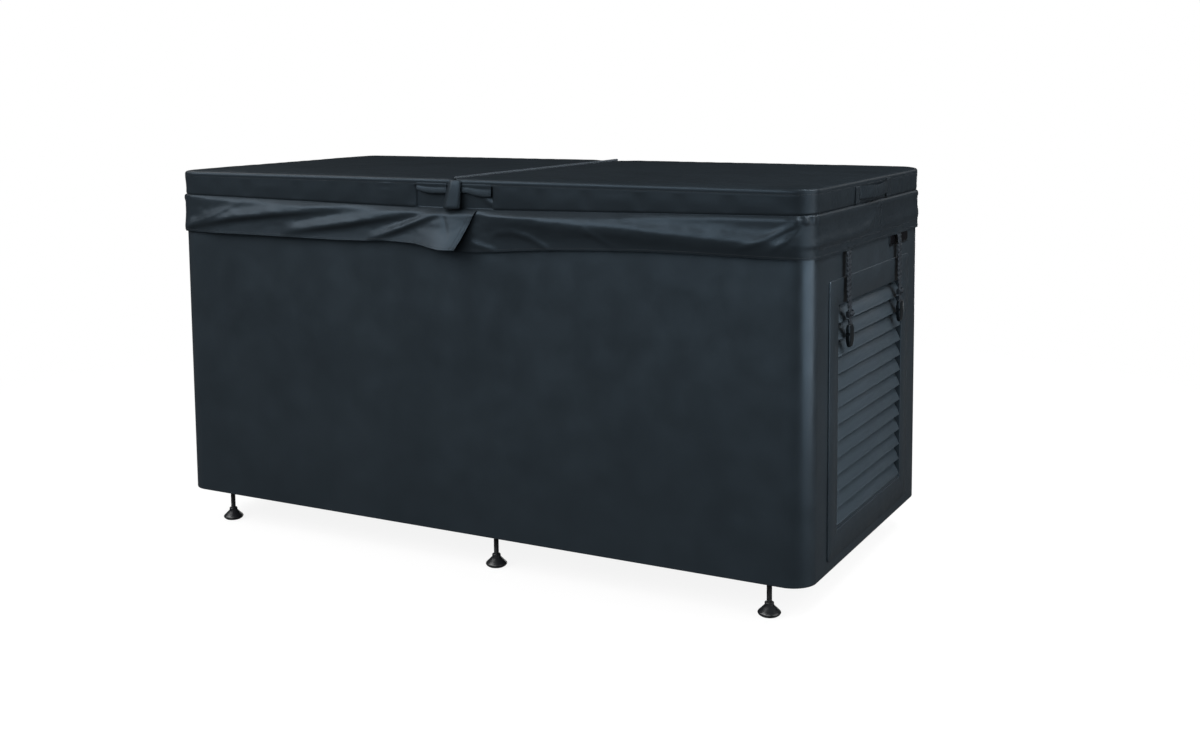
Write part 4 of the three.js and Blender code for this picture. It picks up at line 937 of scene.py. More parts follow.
for bay_node, bay_finish, ease in (
    ("base_pan", "black_plastic", 1.0), ("base_frame", "steel", 1.2), ("basin_insulation", "foam", 1.5),
    ("bulkhead", "black_plastic", 0.8), ("suction_strainer", "grey_plastic", 0.8),
    ("return_jet", "grey_plastic", 0.8), ("fan_shroud", "black_plastic", 0.8),
    ("fan_rotor", "black_plastic", 0.5), ("compressor", "cast_black", 1.5),
    ("heat_exchanger", "steel", 1.0), ("circulation_pump", "black_plastic", 1.0),
    ("filter_housing", "grey_plastic", 1.0), ("suction_hose", "rubber", 0.4),
    ("return_hose", "rubber", 0.4), ("condenser_coil", "steel", 0.6),
    ("drain_valve", "black_plastic", 0.7), ("drain_knob", "black_plastic", 0.9),
    ("power_inlet", "black_plastic", 0.6),
):
    refined(bay_node, bay_finish, ease * MM)


# Cover: padded halves

FRONT_COLUMNS = 84
NOTCH_COLUMNS = 14
END_COLUMNS = 80


def arc(a, b, radius, start, stop, steps=10):
    angles = np.radians(np.linspace(start, stop, steps + 1))
    return [(a + radius * math.cos(t), b + radius * math.sin(t)) for t in angles]


def spaced_along(line, distances):
    line = np.array(line)
    run = np.concatenate([[0], np.cumsum(np.linalg.norm(np.diff(line, axis=0), axis=1))])
    return np.stack([np.interp(distances, run, line[:, i]) for i in (0, 1)], axis=1)


def length_of(line):
    return float(np.sum(np.linalg.norm(np.diff(np.array(line), axis=0), axis=1)))


def pad_sides(inset):
    """A half's outline as four rows of points, from corner middle to corner middle."""
    u0, u1 = FOLD_HALF_GAP + 0.4 * inset, COVER_END - inset
    y0 = COVER_FRONT + inset
    big = max(CORNER + OVERHANG - inset, 1 * MM)
    small = max(6 * MM - inset, 0.5 * MM)
    near, near_back = (u0 + small, y0 + small, small), (u0 + small, -y0 - small, small)
    far, far_back = (u1 - big, y0 + big, big), (u1 - big, -y0 - big, big)
    front = arc(*near, 225, 270) + arc(*far, 270, 315)
    end = arc(*far, 315, 360) + arc(*far_back, 0, 45)
    back = arc(*far_back, 45, 90) + arc(*near_back, 90, 135)
    fold = arc(*near_back, 135, 180) + arc(*near, 180, 225)
    slit = small * math.pi / 4 + NOTCH_REACH - u0 - small
    stops = np.concatenate(
        [
            np.linspace(0, slit - 0.4 * MM, NOTCH_COLUMNS),
            np.linspace(slit + 0.4 * MM, length_of(front), FRONT_COLUMNS + 1 - NOTCH_COLUMNS),
        ]
    )
    rows = [spaced_along(front, stops)]
    for line, count in ((end, END_COLUMNS), (back, FRONT_COLUMNS), (fold, END_COLUMNS)):
        rows.append(spaced_along(line, np.linspace(0, length_of(line), count + 1)))
    return rows


def patch_inside(rows):
    """Fills four rows of points with a grid that follows all of them."""
    front, end, back, fold = rows[0], rows[1], rows[2][::-1], rows[3][::-1]
    s = (np.arange(len(front)) / (len(front) - 1))[:, None, None]
    t = (np.arange(len(end)) / (len(end) - 1))[:, None]
    across = (1 - t) * front[:, None] + t * back[:, None] + (1 - s) * fold + s * end
    corners = (1 - s) * (1 - t) * front[0] + s * (1 - t) * front[-1]
    corners += (1 - s) * t * back[0] + s * t * back[-1]
    return across - corners


# How far below the pads' top the skirts' seam runs, at the fold and at each end
SEAM_AT_FOLD = 69 * MM
SEAM_AT_END = {-1: 59 * MM, 1: 54 * MM}


def seam_height(side, u):
    """The seam that the skirt hangs from: lowest at the fold, rising to the cover's end."""
    rise = SEAM_AT_END[side] - SEAM_AT_FOLD
    return PAD_TOP - SEAM_AT_FOLD - rise * np.clip(u / HALF_LENGTH, 0, 1)


# Dents at the front as (half, place along, height, width, height of the dent, depth), in mm
PAD_DENTS = (
    (-1, 188, 895, 14, 3.0, 1.2), (-1, 190, 880, 12, 3.5, 1.6), (-1, 192, 860, 12, 4.0, 1.4),
    (1, 150, 884, 26, 6.0, 1.0), (1, 420, 876, 40, 9.0, 0.8), (-1, 560, 878, 60, 8.0, 0.9),
)


PAD_WAIST, PAD_WAVER = 1.6 * MM, 0.8 * MM
SEAM_PINCH, STITCH_PINCH = 3.4 * MM, 0.3 * MM


def pad_swell(side, u, y, z):
    """How far the pad's side stands out: drawn in at mid-height, pinched at the seams."""
    share = np.clip((z - PAD_BASE) / (PAD_TOP - NOTCH_LIP - PAD_BASE), 0, 1)
    out = -PAD_WAIST * math.sin(math.pi * share)
    out -= SEAM_PINCH * hump(z - seam_height(side, u), 2.2 * MM)
    out -= STITCH_PINCH * hump(z - PAD_TOP + TOPSTITCH_DROP, 1.6 * MM)
    if y < 0:
        for half, at, level, wide, tall, deep in PAD_DENTS:
            if half == side:
                near = ((u - at * MM) / (wide * MM)) ** 2 + ((z - level * MM) / (tall * MM)) ** 2
                out += deep * MM * math.exp(-near)
    out += PAD_WAVER * noise.noise((side * u * 9, y * 9, z * 30)) * math.sin(math.pi * share)
    return out


def pad_crown(side, u, y):
    s = (u - FOLD_HALF_GAP) / (COVER_END - FOLD_HALF_GAP)
    t = y / COVER_FRONT
    crown = 1.5 * MM * (1 - (2 * s - 1) ** 4) * (1 - t**4)
    return crown + 0.9 * MM * noise.noise((side * u * 4.2, y * 4.2, 3.1)) * (1 - t**4)


def pad_levels():
    """Rows up the pad's side and over its edge, as (inset, drop from the top, place by the seam).

    A row with a place runs along the skirt's seam: below 0 it is part of the way up from the
    base, above 0 part of the way from the seam to the lip.
    """
    levels = [(4 * MM, PAD_THICKNESS, None)]
    levels += [(1.2 * MM, PAD_THICKNESS, -1.0), (0, PAD_THICKNESS, -0.6)]
    for place in (-0.25, -0.001, 0.03, 0.08, 0.16, 0.28, 0.42, 0.58, 0.74, 0.88):
        levels.append((0, 0, place))
    for drop in (16.4, 15.6, 13.6, 12.0, 10.4, 8.4):
        levels.append((0, drop * MM, None))
    for step in range(6):
        angle = math.radians(18 * step)
        levels.append((PAD_EDGE * (1 - math.cos(angle)), PAD_EDGE * (1 - math.sin(angle)), None))
    return levels


def level_height(side, u, drop, place):
    if place is None:
        return PAD_TOP - drop
    seam = seam_height(side, u)
    if place < 0:
        return PAD_BASE + 0.6 * MM + (seam - PAD_BASE - 0.6 * MM) * (1 + place)
    return seam + (PAD_TOP - NOTCH_LIP - 0.8 * MM - seam) * place


# A ridge of slack in the right half's notch, sloping down from the fold
RIDGE_START, RIDGE_LENGTH = 75 * MM, 46 * MM
RIDGE_HEIGHT, RIDGE_DROP, RIDGE_PROUD = 870 * MM, 25 * MM, 7 * MM


def pad_points(side, rows, inset, drop, place):
    """One closed row of a half's points, in the notch where it is cut back."""
    ring = np.concatenate([row[:-1] for row in rows])
    hollow = COVER_FRONT + NOTCH_DEPTH
    points = []
    for u, y in ring:
        z = level_height(side, u, drop, place)
        rise = FOLD_RISE * (z - PAD_BASE) / (PAD_TOP - PAD_BASE)
        middle = (max(u - 60 * MM, 0), y * 0.8)
        out = np.array([u - middle[0], y - middle[1]])
        if abs(y) > HALF_WIDTH - CORNER and u < HALF_LENGTH - CORNER:
            out = np.array([0.0, y])
        elif u > HALF_LENGTH - CORNER and abs(y) < HALF_WIDTH - CORNER:
            out = np.array([1.0, 0.0])
        elif u < 20 * MM:
            out = np.array([0.0, 0.0])
        swell = pad_swell(side, u, y, z) if inset < 4 * MM else 0
        length = np.linalg.norm(out)
        if length:
            u, y = np.array([u, y]) + out / length * swell
        if u < NOTCH_REACH and z < PAD_TOP - NOTCH_LIP and y < hollow + 10 * MM:
            depth = smooth(0.2 * MM, 1.4 * MM, z - seam_height(side, u))
            y += depth * (hollow + 0.1 * (y - COVER_FRONT) - y) - 1.6 * MM * (1 - depth)
            along = (u - RIDGE_START) / RIDGE_LENGTH
            if side > 0 and 0 < along < 1:
                ridge = RIDGE_HEIGHT - RIDGE_DROP * along
                y -= RIDGE_PROUD * hump(z - ridge, 5 * MM) * math.sin(math.pi * along) ** 0.5
        points.append((side * u, y, z + rise * (1 - min(u / HALF_LENGTH, 1))))
    return points


def pad_mesh(side, name):
    levels = pad_levels()
    points, pinned = [], []
    count = 2 * (FRONT_COLUMNS + END_COLUMNS)
    for inset, drop, place in levels:
        points += pad_points(side, pad_sides(inset), inset, drop, place)
        held = place is None or place < 0.05
        for i in range(count):
            by_fold = i < NOTCH_COLUMNS + 1 or i > count - END_COLUMNS - 1
            pinned.append(held or by_fold)
    faces = grid_faces(len(levels), count, ring=True)
    wide, deep = FRONT_COLUMNS, END_COLUMNS
    border = [(i, 0) for i in range(wide)] + [(wide, j) for j in range(deep)]
    border += [(i, deep) for i in range(wide, 0, -1)] + [(0, j) for j in range(deep, 0, -1)]
    for start, top in ((0, False), ((len(levels) - 1) * count, True)):
        ring = np.array(points[start : start + count])
        flat = ring[:, :2] * (side, 1)
        corners = np.cumsum([0, wide, deep, wide, deep])
        closed = np.concatenate([flat, flat[:1]])
        rows = [closed[a : b + 1] for a, b in zip(corners[:-1], corners[1:])]
        grid = patch_inside(rows)
        index = {spot: start + number for number, spot in enumerate(border)}
        for i in range(1, wide):
            for j in range(1, deep):
                u, y = grid[i, j]
                z = PAD_BASE
                if top:
                    z = PAD_TOP + pad_crown(side, u, y) + FOLD_RISE * (1 - u / HALF_LENGTH)
                index[i, j] = len(points)
                points.append((side * u, y, z))
                pinned.append(not top)
        for i in range(wide):
            for j in range(deep):
                faces.append((index[i, j], index[i + 1, j], index[i + 1, j + 1], index[i, j + 1]))
    piece = tidy(made(name, points, faces), 180)
    return piece, [i for i, held in enumerate(pinned) if held]


SETTLE_FRAMES = 20
SKIN_SETTINGS = {
    "quality": 5, "mass": 0.4, "tension_stiffness": 25, "compression_stiffness": 25,
    "bending_stiffness": 6.0, "shrink_min": -0.0015, "use_pressure": True, "uniform_pressure_force": 2.0,
    "vertex_group_mass": "sewn",
}


def plumped(piece, held, most):
    """Lets the cover's skin settle over its foam with the sewn rows held still."""
    rest = [v.co.copy() for v in piece.data.vertices]
    group = piece.vertex_groups.new(name="sewn")
    group.add(held, 1.0, "REPLACE")
    skin = piece.modifiers.new("skin", "CLOTH")
    for setting, value in SKIN_SETTINGS.items():
        setattr(skin.settings, setting, value)
    skin.settings.effector_weights.gravity = 0
    skin.collision_settings.use_collision = False
    skin.point_cache.frame_start = 1
    skin.point_cache.frame_end = SETTLE_FRAMES
    scene = bpy.context.scene
    for step in range(1, SETTLE_FRAMES + 1):
        scene.frame_set(step)
    settle(piece)
    scene.frame_set(1)
    piece.vertex_groups.clear()
    for vertex, start in zip(piece.data.vertices, rest):
        move = vertex.co - start
        if move.length > most:
            vertex.co = start + move * (most / move.length)


for half, side in SIDE.items():
    pad, sewn = pad_mesh(side, f"cover_{half}_cushion")
    plumped(pad, sewn, 2.5 * MM)
    rounded_off(pad)
    keep(pad, f"cover_{half}", "vinyl", f"cover_{half}_pad")


# Cover: hanging skirts
# A fold is a row of (place along the side, height, how far it stands out), all in mm.


def fold(up, down, *row):
    """One fold: how far it fades out above and below its crest, and its row of points."""
    return row, up, down


FOLDS = {
    ("left", "front"): (
        fold(12, 9, (-845, 762, 0), (-800, 775, 4), (-730, 798, 4), (-660, 826, 2), (-620, 838, 0)),
        fold(
            20, 9, (-860, 762, 1), (-800, 772, 4), (-670, 797, 11), (-520, 814, 11), (-420, 823, 8),
            (-310, 831, 0),
        ),
        fold(
            18, 9, (-500, 770, 0), (-450, 777, 6), (-390, 786, 10), (-300, 798, 11), (-200, 815, 9),
            (-110, 829, 3), (-70, 835, 0),
        ),
        fold(
            12, 7, (-240, 766, 0), (-210, 771, 4), (-157, 787, 8), (-107, 805, 8), (-60, 822, 5),
            (-28, 832, 0),
        ),
    ),
    ("right", "front"): (
        fold(
            20, 27, (70, 829, 0), (100, 827, 5), (170, 826, 12), (270, 820, 15), (420, 815, 15),
            (520, 809, 14), (720, 798, 12), (860, 795, 7),
        ),
        fold(
            9, 8, (95, 780, 0), (120, 792, 3), (160, 797, 4), (207, 786, 4), (245, 766, 2), (260, 760, 0),
        ),
        fold(8, 8, (340, 812, 0), (355, 806, 2), (385, 790, 2.5), (410, 778, 1), (420, 774, 0)),
        fold(8, 6, (40, 767, 0), (60, 764, 3), (100, 755, 3), (125, 749, 0)),
        fold(4, 4, (780, 851, 0), (825, 846, 3), (850, 838, 2), (870, 832, 0)),
        fold(7, 7, (690, 784, 0), (740, 799, 3), (790, 822, 4.5), (825, 841, 2.5), (842, 848, 0)),
        fold(6, 6, (765, 780, 0), (795, 799, 3), (820, 823, 4), (840, 845, 1)),
    ),
    ("right", "end"): (
        fold(
            14, 8, (-410, 796, 4), (-200, 796, 3.4), (-100, 795, 3.6), (-40, 800, 4), (0, 812, 3),
            (22, 826, 1.6), (30, 833, 0),
        ),
        fold(14, 8, (50, 794, 0), (90, 796, 2), (250, 798, 2), (340, 798, 2.2), (410, 797, 2.4)),
    ),
    ("left", "end"): (
        fold(14, 8, (-410, 774, 1), (-300, 790, 3), (-150, 806, 3), (-40, 826, 0)),
        fold(14, 8, (-120, 774, 0), (0, 786, 3), (160, 806, 3), (300, 822, 1), (410, 812, 0)),
        fold(14, 8, (200, 776, 0), (300, 788, 2.4), (410, 796, 2.4)),
    ),
    ("right", "back"): (
        fold(20, 10, (10, 818, 3), (160, 806, 8), (380, 812, 9), (600, 800, 8), (860, 797, 6)),
        fold(10, 8, (240, 776, 0), (320, 786, 4), (420, 778, 0)),
    ),
    ("left", "back"): (
        fold(18, 9, (-860, 796, 6), (-600, 806, 8), (-380, 798, 8), (-180, 814, 6), (-10, 822, 2)),
        fold(10, 8, (-520, 772, 0), (-420, 780, 4), (-300, 774, 0)),
    ),
}

# A hem is a row of (place along the side, height).
HEMS = {
    ("left", "front"): [
        (-860, 757), (-600, 759), (-330, 758), (-240, 760), (-190, 763), (-90, 761), (-13, 752),
        (40, 753),
    ],
    ("right", "front"): [
        (0, 743), (30, 744), (110, 749), (180, 755), (270, 761), (370, 765), (470, 768), (570, 769),
        (800, 767), (860, 765),
    ],
    ("left", "end"): [(-410, 757), (410, 757)], ("right", "end"): [(-410, 764.6), (410, 764.6)],
    ("left", "back"): [(-860, 757), (0, 757)], ("right", "back"): [(0, 764), (860, 764.6)],
}

SKIRT_ROLL = {"front": 5 * MM, "end": 1.2 * MM, "back": 4 * MM}
SKIRT_HUG = {"front": 0.0, "end": 1.6 * MM, "back": 0.0}
SKIRT_FLARE = {
    ("left", "front"): 9 * MM, ("left", "end"): 0.6 * MM, ("left", "back"): 4 * MM,
    ("right", "front"): 0.5 * MM, ("right", "end"): 1.2 * MM, ("right", "back"): 4 * MM,
}


def fold_height(half, face, along, z):
    """How far the folds of one side stand out at a point, in metres."""
    out = 0.0
    for row, up, down in FOLDS[half, face]:
        above = z - read_row(row, along)
        width = (up if above > 0 else down) * MM
        out += read_row(row, along, 2, 0) * hump(above, width)
    return out


def skirt_stations(half):
    """Points round a half's outline from the fold's front to its back.

    Each is (u, y, outward u, outward y, face, next face, share of the turn between them).
    """
    straight, deep = HALF_LENGTH - CORNER, HALF_WIDTH - CORNER
    start = -LAP_TOP if half == "left" else 4 * MM

    def corner(y, from_angle, face, next_face):
        for t in np.linspace(0, 1, 25)[:-1]:
            a = math.radians(from_angle + 90 * t)
            nu, ny = math.cos(a), math.sin(a)
            yield (straight + CORNER * nu, y + CORNER * ny, nu, ny, face, next_face, t)

    stations = []
    for u in np.linspace(start, straight, 190)[:-1]:
        stations.append((u, -HALF_WIDTH, 0, -1, "front", "front", 0.0))
    stations += corner(-deep, -90, "front", "end")
    for y in np.linspace(-deep, deep, 150)[:-1]:
        stations.append((HALF_LENGTH, y, 1, 0, "end", "end", 0.0))
    stations += corner(deep, 0, "end", "back")
    for u in np.linspace(straight, FOLD_HALF_GAP, 170):
        stations.append((u, HALF_WIDTH, 0, 1, "back", "back", 0.0))
    return stations


# Where the left skirt is drawn taut, and how its lap swings out and creases
TAUT_FROM, TAUT_TO = 690 * MM, 800 * MM
LAP_SWING = 25 * MM
LAP_CREASE, CREASE_DEPTH = ((780, 0), (828, -22)), 1.6 * MM
# The seam in the right end, the swell over each strap and the gathers round the corners
END_SEAM, END_SEAM_DEPTH = 52 * MM, 1.4 * MM
STRAP_SWELL = 3.4 * MM
GATHERS, GATHER_DEPTH = 9, 1.8 * MM
SKIRT_TUCK = 2.2 * MM


def skirt_point(half, station, down, proud=0.0):
    """A point of the skirt's outer face: down is 0 at the seam and 1 at the hem."""
    side = SIDE[half]
    u, y, nu, ny, face, next_face, round_corner = station
    turn = smooth(0, 1, round_corner)
    on_front, on_end_face = face == "front", face == next_face == "end"
    lap = 0.0
    if half == "left" and on_front and turn < 0.5:
        u = u + (LAP_TOP - LAP_BOTTOM) * down * (1 - smooth(0, 150 * MM, u + LAP_TOP))
        lap = 1 - smooth(60 * MM, 190 * MM, u + LAP_TOP)
    x = side * u
    seam = seam_height(side, abs(u))
    spots = {"front": x, "end": y, "back": x}

    def turning(value):
        """A value of this face, blended into the next face's round a corner."""
        return (1 - turn) * value(face) + turn * value(next_face)

    hem = turning(lambda f: read_row(HEMS[half, f], spots[f]))
    z = seam + (hem - seam) * down
    fall = seam - z
    taut = smooth(TAUT_FROM, TAUT_TO, u) if half == "left" and on_front else 0.0
    roll = turning(SKIRT_ROLL.get) * (1 - 0.7 * taut)
    tuck = SKIRT_TUCK * hump(fall, 1.2 * MM)
    out = SKIRT_SEAT - tuck + roll * (1 - hump(fall, 6 * MM))
    hug = turning(SKIRT_HUG.get)
    out -= hug * smooth(8 * MM, 24 * MM, fall)
    out += turning(lambda f: fold_height(half, f, spots[f], z)) * smooth(0, 0.16, down)
    flare = turning(lambda f: SKIRT_FLARE[half, f])
    out += flare * (1 - 0.85 * taut) * down**2.4
    if half == "left" and on_front:
        over = 0.45 * smooth(-4 * MM, 14 * MM, x)
        lifted = over + (1 - over) * smooth(0, 0.16, down)
        out += LAP_PROUD * lap * lifted * (0.75 + 0.25 * down)
        out += LAP_SWING * hump(x + 5 * MM, 85 * MM) * down**1.3
        deep = CREASE_DEPTH * (smooth(0.05, 0.25, down) * (1 - smooth(0.6, 0.85, down)))
        out -= deep * hump(x - read_row(LAP_CREASE, z), 4.5 * MM)
    if half == "right" and on_end_face:
        dip = END_SEAM_DEPTH * (1 - smooth(0.5, 0.75, down))
        out -= dip * hump(y - END_SEAM, 3 * MM)
    if on_end_face:
        out += STRAP_SWELL * hump(abs(y) - STRAP_Y, 30 * MM) * down**3
    along = y if face == "end" else u
    wrinkle = noise.noise((x * 22, y * 22, z * 55)) * 1.1
    wrinkle += noise.noise((x * 60, y * 60, z * 90)) * 0.5
    calm = 1.0 if on_front else 0.45
    pucker = 0.12 * math.sin(along / (4.2 * MM)) * hump(1 - down, 0.08)
    out += (wrinkle * math.sin(math.pi * min(down * 1.15, 1)) + pucker) * calm * MM
    gathers = math.sin(math.pi * round_corner) * math.sin(GATHERS * math.pi * round_corner)
    out += GATHER_DEPTH * gathers * hump(fall - 7 * MM, 8 * MM)
    out = max(out, SKIRT_SEAT - tuck - hug) + proud
    return Vector((side * (u + nu * out), y + ny * out, z))


SKIRT_ROWS = 30
HEM_STITCH, UPPER_STITCH = 0.945, 0.80
THREAD_PROUD = 0.3 * MM


def skirt(half):
    stations = skirt_stations(half)
    levels = [(row / (SKIRT_ROWS - 1)) ** 1.15 for row in range(SKIRT_ROWS)]

    def point(down, station):
        return skirt_point(half, station, down)

    cloth = sheet_of(f"cover_{half}_skirt_cloth", levels, stations, point)
    tidy(cloth, 180, turn=False)
    if cloth.data.polygons[SKIRT_ROWS].normal.y >= 0:
        cloth.data.flip_normals()
    shaded(thickened(cloth, SKIRT_THICKNESS), 60)
    keep(cloth, f"cover_{half}", "vinyl", f"cover_{half}_skirt")
    front = [s for s in stations if s[4] == "front" and s[6] == 0]
    end = [s for s in stations if s[4] == "end" and s[6] == 0]
    lines = [
        [skirt_point(half, s, HEM_STITCH, THREAD_PROUD) for s in stations],
        [skirt_point(half, s, UPPER_STITCH, THREAD_PROUD) for s in end],
    ]
    if half == "left":
        upright, downs = (front[1], front[3]), np.linspace(0.06, 0.97, 30)
    else:
        sides = (END_SEAM - 6 * MM, END_SEAM + 6 * MM)
        upright = [min(end, key=lambda s: abs(s[1] - y)) for y in sides]
        downs = np.linspace(0.08, 0.7, 24)
    for station in upright:
        lines.append([skirt_point(half, station, d, THREAD_PROUD) for d in downs])
    thread = stitched(f"cover_{half}_skirt_stitches", lines, f"cover_{half}")
    middle = [skirt_point(half, s, 0.5) for s in stations]
    length = sum((a - b).length for a, b in zip(middle[:-1], middle[1:]))


for half in SIDE:
    skirt(half)


# Cover: welt, bands, loop and handles


WELT_STEPS = 160


def fold_welt():
    """Piping along the fold: a round bead with a slight waver, in a lighter vinyl that is a painted
    highlight.
    """
    low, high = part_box("fold_welt")
    radius = (high[2] - low[2]) / 2
    def point(share, angle):
        y = low[1] + (high[1] - low[1]) * share
        squeeze = 0.35 if share in (0, 1) else 1.0
        r = radius * squeeze * (0.96 + 0.05 * noise.noise((y * 40, 1.7, 0.2)))
        x = 0.4 * MM * noise.noise((y * 6, 0.3, 4.4))
        z = (low[2] + high[2]) / 2 + (0.3 + 0.2 * noise.noise((y * 7, 2.3, 1.4))) * MM
        return (x + r * math.cos(angle), y, z + r * math.sin(angle))

    shares = [step / WELT_STEPS for step in range(WELT_STEPS + 1)]
    piping_painted_highlight = tidy(swept("fold_piping", shares, 14, point), 60)
    keep(piping_painted_highlight, "cover_left", "piping_painted_highlight", "fold_welt", slot="vinyl")


BAND_EDGES = {
    "left": [(18, 877), (30, 876.5), (60, 875.5), (80, 878), (102, 884)],
    "right": [(18, 880), (37, 879), (60, 874), (80, 871.5), (102, 872)],
}


BAND_START, BAND_LENGTH, BAND_COLUMNS = 18, 84, 34
BAND_PROFILE = (
    (0.0, 0.0), (0.1, 0.5), (0.28, 0.4), (0.38, -0.7), (0.5, 0.5), (0.75, 1.7), (0.93, 2.4), (1.0, 2.0),
    (1.03, 0.8), (1.0, -0.6),
)


def fold_band(half):
    """A slack strip across the notch, creased under the lip and rolled at its lower edge."""
    side = SIDE[half]
    top = PAD_TOP - 9.5 * MM
    def point(row, column):
        share, out = row
        u = (BAND_START + BAND_LENGTH * column / (BAND_COLUMNS - 1)) * MM
        foot = read_row(BAND_EDGES[half], u)
        slack = math.sin(math.pi * column / (BAND_COLUMNS - 1)) ** 0.5
        waver = 0.7 * noise.noise((side * u * 45, share * 2.0, 7.7))
        y = COVER_FRONT - (0.4 + (out + waver) * (0.45 + 0.55 * slack)) * MM
        return (side * u, y, top + (foot - top) * share)

    band = sheet_of(f"fold_strip_{half}", BAND_PROFILE, range(BAND_COLUMNS), point)
    tidy(band, 180, turn=False)
    if band.data.polygons[0].normal.y > 0:
        band.data.flip_normals()
    rounded_off(thickened(band, 1.8 * MM))
    keep(band, f"cover_{half}", "vinyl", f"fold_band_{half}")


LOOP_SECTION = (
    (0.0, 0.0), (0.02, 0.35), (0.20, 0.8), (0.36, 1.0), (0.46, 0.96), (0.75, 0.9), (0.93, 0.8),
    (1.0, 0.55), (1.0, 0.0),
)
LOOP_HEIGHTS = (
    (0.00, 22, 3.0), (0.03, 28, 5.0), (0.10, 31, 7.5), (0.22, 33, 10.0), (0.40, 36, 12.5),
    (0.60, 39, 15.0), (0.80, 43, 17.5), (0.90, 45, 18.6), (0.96, 44, 18.0), (0.99, 41, 16.0),
    (0.97, 37, 13.0), (0.90, 34, 10.5),
)


def fold_loop():
    """A folded tab over the fold's front end: a ridge left of its middle and a hollow foot."""
    low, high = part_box("fold_loop")
    top, height = high[2], high[2] - low[2]
    back = high[1]
    rings = []
    for share, wide, deep in LOOP_HEIGHTS:
        lean = 9 * (1 - share) - 1.0
        ring = []
        for across, out in LOOP_SECTION:
            waver = 0.6 * noise.noise((across * 3, share * 5, 9.2))
            x = (across - 0.5) * wide * 1.15 + lean - 1.5 + waver
            ring.append((x * MM, back - max(out * deep + waver, 0) * MM, top - height * share))
        rings.append(ring)
    tab = tidy(loft("fold_tab", rings), 180)
    keep(rounded_off(tab, 2), "cover_left", "vinyl", "fold_loop")


HANDLE_TABS = {-1: (-126 * MM, -96 * MM), 1: (96 * MM, 126 * MM)}
GRIP_REACH, GRIP_BOW = 100 * MM, 11 * MM
GRIP_TOP, GRIP_WIDTH = 895.8 * MM, 27 * MM
GRIP_ROWS, GRIP_COLUMNS = 9, 72
TAB_COLUMNS = 9
TAB_DROPS = {1: 7 * MM, -1: 13 * MM}
TAB_STITCH_INSET = (4 * MM, 5 * MM)


def carry_handle(half):
    """A vinyl grip between two tabs sewn on the pad's side."""
    side = SIDE[half]
    tab_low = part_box(f"cover_{half}_handle")[0][2]
    face = COVER_END + 0.4 * MM
    pieces, lines = [], []
    for row in (-1, 1):
        y0, y1 = HANDLE_TABS[row]
        top = PAD_TOP - TAB_DROPS[row * side]
        path = [(face - 0.4 * MM, top), (face + 0.5 * MM, top - 0.6 * MM)]
        path += [(face + 0.8 * MM, z) for z in np.linspace(top - 2 * MM, tab_low + 2 * MM, 10)]
        path.append((face + 0.3 * MM, tab_low))

        def tab_point(edge, across):
            x = edge[0] + 0.5 * MM * math.sin(math.pi * across)
            return (side * x, y0 + (y1 - y0) * across, edge[1])

        pieces.append(sheet_of("tab", path, np.linspace(0, 1, TAB_COLUMNS), tab_point))
        x = side * (face + 1.7 * MM)
        across, up = TAB_STITCH_INSET
        left, right = y0 + across, y1 - across
        bottom, high = tab_low + up, top - up
        box = ((left, bottom), (right, bottom), (right, high), (left, high))
        lines.append([(x, y, z) for y, z in (*box, box[0], box[2])])

    def grip_point(w, t):
        y = GRIP_REACH * (2 * t - 1)
        bow = math.sin(math.pi * t) ** 0.7
        crumple = noise.noise((y * 75, 0.4 + w * 0.6, side)) * 1.5
        crumple += noise.noise((y * 150, w, 3.0)) * 0.6
        edge = 1.4 * (2 * w - 1) ** 2
        x = face + 1.6 * MM + (GRIP_BOW + (crumple - edge) * MM) * bow
        z = GRIP_TOP - GRIP_WIDTH * w + (0.8 * math.sin(9 * t) - 1.5 * bow) * MM
        return (side * x, y, z)

    rows, columns = np.linspace(0, 1, GRIP_ROWS), np.linspace(0, 1, GRIP_COLUMNS)
    pieces.append(sheet_of("grip", rows, columns, grip_point))
    handle = tidy(joined(f"cover_{half}_grip", pieces), 180, turn=False)
    work = bmesh.new()
    work.from_mesh(handle.data)
    for f in work.faces:
        if f.normal.x * side < 0:
            f.normal_flip()
    work.to_mesh(handle.data)
    work.free()
    shaded(thickened(handle, 1.4 * MM), 50)
    keep(handle, f"cover_{half}", "vinyl", f"cover_{half}_handle")
    name = f"cover_{half}_grip_stitches"
    stitched(name, lines, f"cover_{half}", 3.2 * MM, 2.4 * MM, 0.8 * MM)


def topstitch(half):
    z = PAD_TOP - TOPSTITCH_DROP
    ring = np.concatenate([row[:-1] for row in pad_sides(0)[:3]])[3:-3]
    line = []
    for u, y in ring:
        rise = FOLD_RISE * (1 - min(u / HALF_LENGTH, 1)) * (z - PAD_BASE) / (PAD_TOP - PAD_BASE)
        line.append((SIDE[half] * u, y, z + rise))
    stitched(f"cover_{half}_topstitch", [line], f"cover_{half}", 6 * MM, 4.4 * MM, 0.9 * MM)


fold_welt()
fold_loop()
for half in SIDE:
    fold_band(half)
    carry_handle(half)
    topstitch(half)


# Floor, background and light

ROOM_FILL = 0.2
CEILING_SHARE = 0.06
MIRRORED_WHITE = 0.025
FLOOR_REACH = 30
FLOOR_DARK, FLOOR_PALE = (0.035, 0.035, 0.035), (0.95, 0.95, 0.95)
WHITE = (1, 1, 1, 1)


def seen_by(tree, mirrored=MIRRORED_WHITE):
    """How white the surroundings look: full to the camera, softer in gloss and glass."""
    ray = add_node(tree, "ShaderNodeLightPath").outputs
    shiny = combined(tree, "MAXIMUM", ray["Is Glossy Ray"], ray["Is Transmission Ray"])
    softer = combined(tree, "MULTIPLY", shiny, mirrored)
    return combined(tree, "MAXIMUM", ray["Is Camera Ray"], softer)


